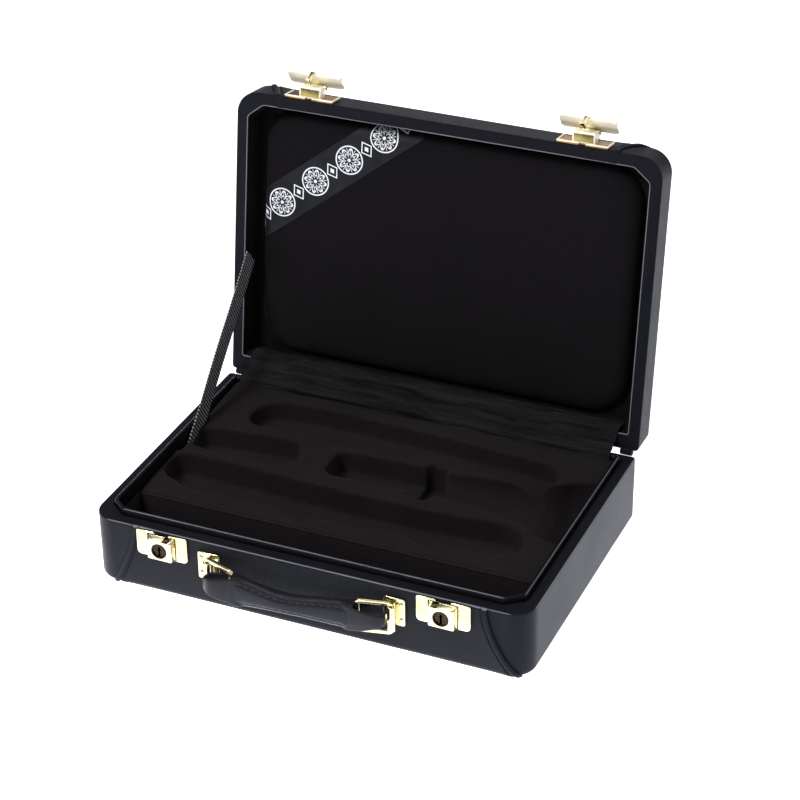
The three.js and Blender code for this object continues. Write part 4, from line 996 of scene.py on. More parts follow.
def lid_end(name, node_, side):
    rows = LID_ROWS
    S, under = end_s(rows, seam_lid_l if side < 0 else seam_lid_r, side)
    P = on_rows(rows, S, lid=True)
    last = P[:, -1]
    goal = last.copy()
    goal[:, 0] = side * 146.0
    goal[:, 1] = np.clip(goal[:, 1], -HY + EDGE_R, HY - EDGE_R)
    t = np.linspace(0, 1, 7)[1:]
    more = last[:, None] * (1 - t)[None, :, None] + goal[:, None] * t[None, :, None]
    more[..., 2] -= 0.55 * ss(0.35, 0.7, t)[None, :]
    P = np.concatenate([P, more], 1)
    off = -0.55 * (1 - ss(3.0, 7.5, under))[:, None] * np.ones((1, P.shape[1]))
    finish_cover(name, P, off, LEATHER_LID, "lid", node_, turn=opened)
    ear = rod("x", 3.1, min(side * 151.5, side * 161), max(side * 151.5, side * 161), HINGE_Y, HINGE_Z, ends=1.1)
    build(name + "_ear", *ear, LEATHER_LID, "lid", slot="leather", turn=opened, angle=70)


lid_end("lid_leather_left", "lid_cover_left", -1)
lid_end("lid_leather_right", "lid_cover_right", 1)

# the leather under the bottom
g = np.stack(np.meshgrid(np.linspace(-150.7, 150.7, 61), np.linspace(-95.05, 95.05, 41), indexing="ij"), -1)
e = np.minimum(150.7 - np.abs(g[..., 0]), 95.05 - np.abs(g[..., 1]))
bot = np.concatenate([g, (0.35 * (1 - ss(0, 3, e)))[..., None]], -1)
V, F = slab(bot[::-1], (bot + np.array([0, 0, 1.0]))[::-1])
build("base_bottom_leather", V, F, LEATHER_RIM, "base", ("base_bottom_cover",), "leather", angle=50)


# ------------------------------------------------------------------ tongue, rim bead, linings
lip_rows = (
    [(LIP_OUT, 47.0), (LIP_OUT, 50.5), (LIP_OUT, 53.5), (LIP_OUT, 55.6), (LIP_OUT, 56.5)]
    + [(LIP_OUT + 1.4 * (1 - math.cos(a)), 56.3 + 1.4 * math.sin(a)) for a in np.linspace(0.25, math.pi - 0.25, 7)]
    + [(LIP_OUT + LIP_T, 56.5), (LIP_OUT + LIP_T, 54.0), (LIP_OUT + LIP_T, 50.0), (LIP_OUT + LIP_T, 44.0), (LIP_OUT + LIP_T, 20.0), (LIP_OUT + LIP_T, 8.0)]
    + [(LIP_OUT, 8.0), (LIP_OUT, 30.0)]
)
P = ring_loft(lip_rows)
nu, nv = P.shape[:2]
wob = fbm(P[..., 0] / 22, P[..., 1] / 22, 12) * 0.10
P[..., 2] += np.where(P[..., 2] > 52, wob, 0)
V, F = P.reshape(-1, 3), grid_faces(nu, nv, True, True, flip=True)
build("base_tongue_leather", V, F, LEATHER_RIM, "base", ("base_lip",), "leather", angle=70)

# piping round the lid's inner rim
path = np.column_stack([clip_outline(8.55), np.full(len(clip_outline(8.55)), LID_Z0 + 0.38)])
V, F = tube(path, circle(0.5, 10), closed=True)
# the tongue leather's painted highlight covers this whole bead
build("lid_rim_bead", V, F, LEATHER_RIM, "lid", slot="leather", turn=opened)

lining_rows = (
    [(8.95, LID_Z0 + 0.9), (9.08, LID_Z0 + 1.3), (9.1, LID_Z0 + 2.4), (9.1, LID_Z0 + 3.8), (9.1, LID_Z0 + 5.0), (9.2, LID_Z0 + 5.7), (9.6, LID_Z0 + 6.3), (10.1, LID_Z0 + 6.9), (10.35, LID_Z0 + 7.6)]
    + [(10.4, z) for z in np.linspace(LID_Z0 + 8.6, LID_CEIL - 0.3, 10)]
    + [(8.5, LID_CEIL - 0.3), (8.5, LID_Z0 + 6)]
)
P = ring_loft(lining_rows)
V, F = P.reshape(-1, 3), grid_faces(P.shape[0], P.shape[1], True, True)
build("lid_wall_velvet", V, F, VELVET_LID, "lid", ("lid_lining",), "velvet", turn=opened, angle=80)

# lid ceiling behind the panel's rounded edge
P = np.array([np.column_stack([clip_outline(i), np.full(len(clip_outline(i)), z)]) for i, z in ((9.2, LID_CEIL - 0.5), (26.0, LID_CEIL - 0.5), (26.0, LID_CEIL - 0.1), (9.2, LID_CEIL - 0.1))]).transpose(1, 0, 2)
V, F = P.reshape(-1, 3), grid_faces(P.shape[0], P.shape[1], True, True)
build("lid_ceiling_velvet", V, F, VELVET_LID, "lid", slot="velvet", turn=opened, angle=60)


# padded panel
def rr_ring(hx, hy, r, n_side=40, n_arc=14):
    """Rounded rectangle, always the same number of points."""
    r = min(r, hx - 0.05, hy - 0.05)
    out = []
    quad = ((1, 1, 0), (-1, 1, 90), (-1, -1, 180), (1, -1, 270))
    for q, (sx, sy, a0) in enumerate(quad):
        for i in range(n_arc + 1):
            a = math.radians(a0 + 90 * i / n_arc)
            out.append((sx * (hx - r) + r * math.cos(a), sy * (hy - r) + r * math.sin(a)))
        nsx, nsy, na = quad[(q + 1) % 4]
        a = math.radians(na)
        e = np.array((nsx * (hx - r) + r * math.cos(a), nsy * (hy - r) + r * math.sin(a)))
        s = np.array(out[-1])
        n = n_side if q % 2 else n_side * 2
        for t in np.linspace(0, 1, n + 1)[1:-1]:
            out.append(tuple(s * (1 - t) + e * t))
    return np.array(out)


PANEL_E = [0, 0.15, 0.5, 1.1, 1.9, 2.9, 4.1, 5.5, 7.0, 8.6, 10.4, 12.4, 15, 18, 22, 27, 33, 40, 48, 57, 66, 76, 85, 92]
rings = []
for e in PANEL_E:
    o2 = rr_ring(148.3 - e, 95.6 - e, 30.0 - 0.35 * e if e < 14 else 25.0)
    t = min(e / 12.5, 1)
    z = PAD_Z + 9.4 * (1 - math.sqrt(max(0, 1 - (1 - t) ** 2.4)))
    crown = -1.4 * min(1, max(0, (e - 6) / 45)) ** 0.7
    rings.append(np.column_stack([o2, np.full(len(o2), z + crown)]))
P = np.array(rings).transpose(1, 0, 2)
per = np.arange(P.shape[0]) / P.shape[0] * 2 * math.pi
E = np.array(PANEL_E)
soft = fbm(P[..., 0] / 26, P[..., 1] / 26, 21) * 0.45 * ss(4, 20, E)[None, :]
puck = (np.sin(per * 61 + 2 * np.sin(per * 9)) * 0.5 + np.sin(per * 37 + 1) * 0.5)[:, None] * 0.32 * np.exp(-(((E - 7) / 5.0) ** 2))[None, :]
P[..., 2] += soft + puck
nu, nv = P.shape[:2]
back_ring = P[:, 0].copy()
back_ring[:, 2] = LID_CEIL - 0.6
V = np.concatenate([P.reshape(-1, 3), back_ring])
F = grid_faces(nu, nv, True, False, flip=True).tolist()
F += [[i * nv, ((i + 1) % nu) * nv, nu * nv + (i + 1) % nu, nu * nv + i][::-1] for i in range(nu)]
F.append([i * nv + nv - 1 for i in range(nu)][::-1])
F.append([nu * nv + i for i in range(nu)])
panel = build("lid_panel_padding", V, F, VELVET_LID, "lid", ("lid_panel",), "velvet", turn=opened, angle=75)


# ------------------------------------------------------------------ satin ribbon
RA = math.radians(-37.9)
RD, RN = np.array([math.cos(RA), math.sin(RA)]), np.array([-math.sin(RA), math.cos(RA)])
RC = np.array([-92.3, -54.8])


def panel_z(x, y):
    """Height of the panel's face (closed) under a point, roughly."""
    hx, hy, r = 148.3, 95.6, 28.0
    qx, qy = np.maximum(np.abs(x) - (hx - r), 0), np.maximum(np.abs(y) - (hy - r), 0)
    e = r - np.hypot(qx, qy)
    e = np.minimum(e, np.minimum(hx - np.abs(x), hy - np.abs(y)))
    t = np.clip(e / 12.5, 0, 1)
    z = PAD_Z + 9.4 * (1 - np.sqrt(np.clip(1 - (1 - t) ** 2.4, 0, 1)))
    z = z + fbm(x / 26, y / 26, 21) * 0.45 * ss(4, 20, e)
    return z - 1.4 * np.clip((e - 6) / 45, 0, 1) ** 0.7, e


rows_s = []
ss_ = np.linspace(-80, 80, 321)
zz, ee = panel_z(RC[0] + RD[0] * ss_, RC[1] + RD[1] * ss_)
tt = np.linspace(-15.7, 15.7, 23)
U_, T_ = np.meshgrid(ss_, tt, indexing="ij")
X_, Y_ = RC[0] + RD[0] * U_ + RN[0] * T_, RC[1] + RD[1] * U_ + RN[1] * T_
Z_, E_ = panel_z(X_, Y_)
# it is cut off where it dives under the panel's edge
keep = (E_.max(axis=1) > 0.6)
first, last = np.argmax(keep), len(keep) - 1 - np.argmax(keep[::-1])
sel = slice(first, last + 1)
U_, T_, X_, Y_, Z_, E_ = (q[sel] for q in (U_, T_, X_, Y_, Z_, E_))
inside = np.clip(E_, 0.4, None)
# points beyond the panel's outline slide back on to it
hx, hy, r = 147.6, 94.9, 28.0
qx, qy = np.abs(X_) - (hx - r), np.abs(Y_) - (hy - r)
corner = (qx > 0) & (qy > 0)
dist = np.hypot(qx, qy)
scale_ = np.where(corner & (dist > r), r / np.maximum(dist, 1e-6), 1.0)
X_ = np.where(corner, np.sign(X_) * (hx - r + qx * scale_), np.clip(X_, -hx, hx))
Y_ = np.where(corner, np.sign(Y_) * (hy - r + qy * scale_), np.clip(Y_, -hy, hy))
Z_, E_ = panel_z(X_, Y_)
lift = 0.75 + 0.35 * np.exp(-(((E_ - 7) / 5.0) ** 2)) + 0.25 * np.sin(U_ / 17.0 + 0.4) * (1 - (T_ / 15.7) ** 2) + 0.18 * (1 - np.abs(T_) / 15.7)
Pf = np.stack([X_, Y_, Z_ - lift], -1)
Pb = Pf + np.array([0, 0, 0.28])
V, F = slab(Pf[::-1], Pb[::-1])
uvg = np.stack([U_ + 100.0, T_], -1)[::-1].reshape(-1, 2)
ribbon = build("lid_satin_ribbon", V, F, SATIN, "lid", ("lid_ribbon",), "satin", turn=opened, uv=np.concatenate([uvg, uvg]), angle=60)

# ------------------------------------------------------------------ plush tray
CAVS = {
    "upper": ([(-121.5, 57), (-117, 50), (-108, 47.6), (-90, 48.5), (-73.8, 48.5), (-60, 44.2), (-40.8, 44), (-5.9, 45.4),
               (16.3, 47.6), (61.8, 48.6), (92.2, 47), (110, 47.6), (119, 51.5), (123, 59), (121, 68), (113, 74.5),
               (95, 77), (60, 79), (20, 82), (-20, 83.5), (-60, 84.5), (-92, 84), (-112, 79), (-120, 69)], 36.3),
    "mouth": ([(-148, 12), (-142, 7.5), (-128, 5.2), (-100, 3.6), (-80, 3.4), (-70, 7), (-66, 15), (-66, 27), (-70, 35),
               (-80, 38.2), (-100, 37), (-128, 34.2), (-142, 31.5), (-148, 27)], 32.3),
    "barrel": ([(-39, 14), (-35, 9), (-26, 7.8), (0, 8.2), (25, 8.6), (34, 9.4), (46, 9.6), (46, 39), (34, 40.4),
                (25, 40.6), (0, 40), (-26, 39.4), (-35, 38), (-39, 33)], 32.3),
    "gap": ([(29, 6), (45, 6), (45, 43), (29, 43)], 25.3),
    "lower": ([(-149, -28), (-143.3, -34.3), (-134.2, -38.5), (-126, -42.6), (-113.4, -45.4), (-97, -44.4), (-85, -45.6),
               (-69.5, -44), (-57.7, -43.2), (-48, -45), (-40.5, -51), (-31.5, -54.6), (-23, -53.2), (-17, -46),
               (-8, -43), (5.5, -45.6), (14.2, -45.2), (29, -41.8), (47.8, -42.4), (56.6, -46.6), (65, -51),
               (74, -52.2), (83, -47), (93, -43.4), (104, -41.8), (114, -39), (125, -33.6), (129, -25), (125, -15),
               (117.7, -8), (106, -4.8), (95, -5.4), (60, -8.4), (20, -8.8), (-30, -8), (-60, -6.6), (-90, -5.6),
               (-120, -4.6), (-142, -5), (-149, -11)], 29.3),
}
BELL = np.array([(14.6, 42), (15.4, 54), (18.1, 78.5), (22.5, 103.4), (24.8, 118), (29.2, 126.6), (35.6, 134.8), (38.4, 143.6), (39.4, 151), (39.4, 158)])


def signed(poly, X, Y):
    """Distance to a closed polygon, negative inside."""
    C = smooth_path(poly, 260, closed=True)
    A, B = C, np.roll(C, -1, 0)
    d2 = np.full(X.shape, 1e9)
    inside = np.zeros(X.shape, bool)
    for (ax, ay), (bx, by) in zip(A, B):
        ex, ey = bx - ax, by - ay
        t = np.clip(((X - ax) * ex + (Y - ay) * ey) / (ex * ex + ey * ey), 0, 1)
        d2 = np.minimum(d2, (X - ax - t * ex) ** 2 + (Y - ay - t * ey) ** 2)
        c = (ay > Y) != (by > Y)
        with np.errstate(divide="ignore", invalid="ignore"):
            xi = ax + (Y - ay) * ex / (ey if ey else 1e-9)
        inside ^= c & (X < xi)
    return np.where(inside, -1, 1) * np.sqrt(d2)


def tray_height(X, Y):
    top = TRAY_Z0 + (Y - TRAY_FRONT) * TRAY_RISE
    z = top + 0.25 * fbm(X / 30, Y / 30, 31)
    for name, (poly, floor) in CAVS.items():
        d = signed(poly, X, Y)
        r = 3.6  # plush rounding outside the cut
        wall = 1.6
        depth = top - floor
        # rounded shoulder, then a steep wall, then a rounded bottom
        shoulder = np.where(d > 0, 0.9 * np.clip(1 - d / r, 0, 1) ** 2, 0.9)
        inner = np.clip(-d / wall, 0, 1)
        steep = 1 - (1 - inner) ** 1.6
        bottom = 2.2 * np.clip(1 - (-d - wall) / 9.0, 0, 1) ** 2
        zc = top - shoulder - steep * (depth - 0.9 - bottom)
        z = np.minimum(z, np.where(d < r, zc + 0.25 * fbm(X / 30, Y / 30, 31) * (d > -0.5), 1e3))
    # the bell's half round
    rr = np.interp(X, BELL[:, 1], BELL[:, 0], left=0, right=39.4)
    dy = np.abs(Y - 25.0)
    inb = X > 42
    zb = 50.6 - np.sqrt(np.clip(rr**2 - dy**2, 0, None))
    edge = np.clip(1 - (dy - rr) / 3.6, 0, 1)
    zb = np.where(dy < rr, zb, top - 0.9 * edge**2)
    z = np.minimum(z, np.where(inb & (dy < rr + 3.6), zb, 1e3))
    return z


step = 0.8
XH, YB = HX - TRAY_IN + 0.1, HY - TRAY_IN
nx_, ny_ = int(2 * XH / step), int((YB - TRAY_FRONT) / step)
gx = np.linspace(-XH, XH, nx_)
gy = np.linspace(TRAY_FRONT, YB, ny_)
X, Y = np.meshgrid(gx, gy, indexing="ij")
Xc, Yc = X, Y
Z = tray_height(Xc, Yc)
# front edge rolled over, and a hairline dip along the tongue
fr = Yc - TRAY_FRONT
Z -= 2.6 * (1 - np.sqrt(np.clip(1 - (1 - np.clip(fr / 2.6, 0, 1)) ** 2, 0, 1)))
side = np.minimum(XH - np.abs(Xc), YB - Yc)
Z -= 1.3 * np.clip(1 - side / 1.8, 0, 1) ** 2
# slot for the strap
slot_ = (Xc < -XH + 4.0) & (Yc > -3) & (Yc < 47)
Z = np.where(slot_, np.minimum(Z, 44.0), Z)
top_ = np.stack([Xc, Yc, Z], -1)
low_ = np.stack([Xc, Yc, np.full_like(Z, 8.0)], -1)
V, F = slab(top_, low_)
tray = build("tray_velvet", V, F, VELVET, None, (), "velvet")
m = tray.modifiers.new("even", "REMESH")
m.mode, m.voxel_size = "VOXEL", 1.15 * MM
m.use_smooth_shade = True
m = tray.modifiers.new("soften", "SMOOTH")
m.factor, m.iterations = 0.5, 3
apply_modifiers(tray)
tray.data.shade_smooth()
if not tray.data.materials:
    tray.data.materials.append(VELVET)
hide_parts("tray_insert")
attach(tray, "base")

# trough in front of the tray
def trough():
    zs_in = [(46.6, 14.0), (46.0, 13.6), (45.0, 13.9), (35.0, 13.9), (22.0, 13.9), (12.5, 14.1), (9.6, 16.0), (8.6, 19.0), (8.4, 26.0)]
    inner, outer = [], []
    for z, i in zs_in:
        o3 = clip_outline(i)
        back = TRAY_FRONT - (i - 12.0)
        q = np.column_stack([o3[:, 0], np.minimum(o3[:, 1], back), np.full(len(o3), z)])
        inner.append(q)
    for z, i in ((46.6, 13.4), (46.2, 12.5), (30.0, 12.45), (6.6, 12.45)):
        o3 = clip_outline(i)
        outer.append(np.column_stack([o3[:, 0], np.minimum(o3[:, 1], TRAY_FRONT - 0.35), np.full(len(o3), z)]))
    P = np.stack(outer[::-1] + inner, 1)
    nu, nv = P.shape[:2]
    F = grid_faces(nu, nv, True, False).tolist()
    F.append([i * nv + nv - 1 for i in range(nu)])
    F.append([i * nv for i in range(nu)][::-1])
    build("trough_velvet", P.reshape(-1, 3), F, VELVET_DARK, "base", ("trough_liner",), "velvet", angle=70)


trough()

# ------------------------------------------------------------------ hinge cloth
ctrl = [(95.0, 53.6), (96.4, 54.8), (96.9, 58.2), (99.0, 59.4), (102.5, 59.0), (107.0, 59.4), (111.5, 61.7),
        (114.0, 64.6), (116.2, 67.2), (119.5, 67.7), (123.5, 66.9), (127.6, 66.2)]
line = smooth_path(ctrl, 60)
arc = np.concatenate([[0], np.cumsum(np.linalg.norm(np.diff(line, axis=0), axis=1))])
xs = np.linspace(-148.6, 148.6, 380)
t2 = np.gradient(line, axis=0)
t2 /= np.linalg.norm(t2, axis=1, keepdims=True)
n2 = np.stack([-t2[:, 1], t2[:, 0]], 1)
XX, AA = np.meshgrid(xs, arc, indexing="ij")
w = ss(0, 6, AA) * ss(0, 5, arc[-1] - AA)
fold = (
    0.75 * np.sin(AA / 1.9 + 1.3 * np.sin(XX / 31) + 0.6 * np.sin(XX / 11 + 1))
    + 0.6 * np.sin(AA / 3.1 + XX / 14 + 2 * np.sin(XX / 43))
    + 0.5 * np.sin(XX / 8.5 + AA / 4.0)
    + 0.8 * fbm(XX / 14, AA / 5, 44)
)
fold = np.sign(fold) * np.abs(fold) ** 0.85
H = 0.75 + w * 1.0 * fold
H = np.maximum(H, -0.1) + 0.55 * ss(arc[-1] - 16, arc[-1] - 8, AA)
pts = np.stack([XX, line[None, :, 0] + n2[None, :, 0] * H, line[None, :, 1] + n2[None, :, 1] * H], -1)
pts[..., 0] += np.sign(XX) * ss(140, 149, np.abs(XX)) * 0.7 * np.sin(AA / 4.2)
N = normals(pts)
V, F = slab(pts[::-1], (pts + N * 0.45)[::-1])
uvc = np.stack([XX, AA], -1)[::-1].reshape(-1, 2)
a0 = [0, float(line[18, 0]), float(line[18, 1])]
a1 = [0, float(line[44, 0]), float(line[44, 1])]
cloth = build("hinge_gap_cloth", V, F, CRINKLED, None, ("hinge_cloth",), "velvet", uv=np.concatenate([uvc, uvc]),
              angle=80, blend=("base", "lid", a0, a1))
area_cloth = 0.297 * float(arc[-1]) * MM

# ------------------------------------------------------------------ stay strap
sx = -(HX - TRAY_IN - 0.9)
top_pt = opened(np.array([[-153.7, 20.0, LID_Z0 + 4.6]]))[0]
mid_pts = [(sx, 16, 30), (sx, 18.5, 40), (sx + 1.4, 32.2, 57.4), (sx + 1.2, 52, 76.5), (sx + 0.3, 79, 101.2), (sx - 0.9, 106, 124.6), tuple(top_pt)]
line = smooth_path(mid_pts, 130)
arc = np.concatenate([[0], np.cumsum(np.linalg.norm(np.diff(line, axis=0), axis=1))])
t3 = np.gradient(line, axis=0)
t3 /= np.linalg.norm(t3, axis=1, keepdims=True)
side3 = np.cross(np.array([1.0, 0, 0]), t3)
side3 /= np.linalg.norm(side3, axis=1, keepdims=True)
vv = np.array([-9.0, -8.9, -8.6, -8.0, -6.5, -4.5, -2.2, 0, 2.2, 4.5, 6.5, 8.0, 8.6, 8.9, 9.0])
thick = 0.62 * np.array([0.25, 0.6, 0.9, 1, 1, 1, 1, 1, 1, 1, 1, 1, 0.9, 0.6, 0.25])
curl = 0.5 * (vv / 9) ** 2
xo = np.array([1.0, 0, 0])
wav = 0.25 * np.sin(arc / 16)
Pc = line[:, None] + side3[:, None] * vv[None, :, None] + xo * (curl[None, :, None] + wav[:, None, None])
Pf, Pb = Pc + xo * thick[None, :, None], Pc - xo * thick[None, :, None]
V, F = slab(Pf, Pb)
uvs = np.stack(np.meshgrid(arc, vv, indexing="ij"), -1).reshape(-1, 2)
i0 = int(np.argmin(np.abs(line[:, 2] - 58)))
strap = build("stay_strap_webbing", V, F, WEBBING, None, ("stay_strap",), "webbing", uv=np.concatenate([uvs, uvs]), angle=60,
              blend=("base", "lid", [float(c) for c in line[i0]], [float(c) for c in line[-3]]))

# ------------------------------------------------------------------ hinges
def leaf(cx, z0, z1, y0, y1, low):
    out = []
    r = 3.0
    z = z0 if low else z1
    pts = round_rect(45, z1 - z0, 3.0)
    pts = pts + np.array([cx, (z0 + z1) / 2])
    # square the edge next to the knuckle
    q = (pts[:, 1] > (z0 + z1) / 2) == low
    pts[q, 0] = np.where(pts[q, 0] > cx, cx + 22.5, cx - 22.5)
    return prism(pts, y0, y1)


def screw(x, y, z, face=1, r=2.1, turn_=0.6):
    """Countersunk screw head on a face that looks towards +Y (face 1) or -Y (face -1)."""
    V, F = [], []
    prof = [(r, 0), (r, 0.25), (r * 0.8, 0.55), (r * 0.45, 0.72), (0.25, 0.78)]
    n = 20
    for q, h in prof:
        for k in range(n):
            a = 2 * math.pi * k / n
            V.append((x + q * math.cos(a), y + face * h, z + q * math.sin(a)))
    F = grid_faces(len(prof), n, close_v=True, flip=face < 0).tolist()
    F.append([4 * n + k for k in range(n)] if face < 0 else [4 * n + k for k in range(n)][::-1])
    F.append(list(range(n))[::-1] if face < 0 else list(range(n)))
    return np.array(V), F


def leaned(P):
    """Lies on the lid's leaning back wall, then turned open."""
    P = np.array(P, float)
    a = math.atan(LID_LEAN / (LID_Z1 - LID_Z0))
    y, z = P[:, 1] - (HY + 0.35), P[:, 2] - LID_Z1
    P[:, 1], P[:, 2] = HY + 0.35 + y * math.cos(a) - z * math.sin(a), LID_Z1 + y * math.sin(a) + z * math.cos(a)
    return opened(P)


for side_, cx in (("left", -95.0), ("right", 95.0)):
    y0 = HY + 0.35
    a = leaf(cx, 33.0, HINGE_Z - 0.8, y0, y0 + 1.35, True)
    o = build(f"hinge_{side_}_lower_leaf", *a, GILT, "base", (f"hinge_{side_}_base_leaf",), "gilt_brass", bevel=0.3)
    kn = [rod("x", 3.05, cx + p, cx + q, HINGE_Y, HINGE_Z) for p, q in ((-22.4, -8.1), (8.1, 22.4))]
    build(f"hinge_{side_}_lower_knuckles", *merge(*kn), GILT, "base", slot="gilt_brass", angle=40)
    build(f"hinge_{side_}_lower_screws", *merge(*[screw(cx + d, y0 + 1.3, 39.5) for d in (-15, 0, 15)]), GILT, "base", slot="gilt_brass", angle=40)
    b = leaf(cx, HINGE_Z + 2.2, 73.5, y0, y0 + 1.35, False)
    build(f"hinge_{side_}_upper_leaf", *b, GILT, "lid", (f"hinge_{side_}_lid_leaf",), "gilt_brass", bevel=0.3, turn=leaned)
    build(f"hinge_{side_}_upper_knuckle", *rod("x", 3.05, cx - 7.5, cx + 7.5, HINGE_Y, HINGE_Z), GILT, "lid", slot="gilt_brass", angle=40, turn=opened)
    build(f"hinge_{side_}_upper_screws", *merge(*[screw(cx + d, y0 + 1.3, 67.5) for d in (-15, 0, 15)]), GILT, "lid", slot="gilt_brass", angle=40, turn=leaned)

# ------------------------------------------------------------------ latches
def base_plate_outline(cx):
    w, z0, z1, r = 39.5 / 2, 31.3, 51.6, 3.5
    out = []
    for a in np.linspace(math.pi, 1.5 * math.pi, 8):
        out.append((cx - w + r + r * math.cos(a), z0 + r + r * math.sin(a)))
    for a in np.linspace(1.5 * math.pi, 2 * math.pi, 8):
        out.append((cx + w - r + r * math.cos(a), z0 + r + r * math.sin(a)))
    out += [(cx + w, z1 - 0.8), (cx + w - 0.8, z1)]
    out += [(cx + 5.9, z1), (cx + 5.6, z1 - 0.5), (cx + 5.2, z1 - 1.5), (cx + 2.3, z1 - 1.6), (cx + 2.3, z1 - 3.4)]
    out += [(cx - 2.3, z1 - 3.4), (cx - 2.3, z1 - 1.6), (cx - 5.2, z1 - 1.5), (cx - 5.6, z1 - 0.5), (cx - 5.9, z1)]
    out += [(cx - w + 0.8, z1), (cx - w, z1 - 0.8)]
    return out


def lofted(rows):
    """rows of equal outlines [(x, y, z)...], capped at both ends."""
    n = len(rows[0])
    V = np.concatenate([np.asarray(r, float) for r in rows])
    F = grid_faces(len(rows), n, close_v=True, flip=True).tolist()
    F.append(list(range(n)))
    F.append([(len(rows) - 1) * n + i for i in range(n)][::-1])
    return V, F


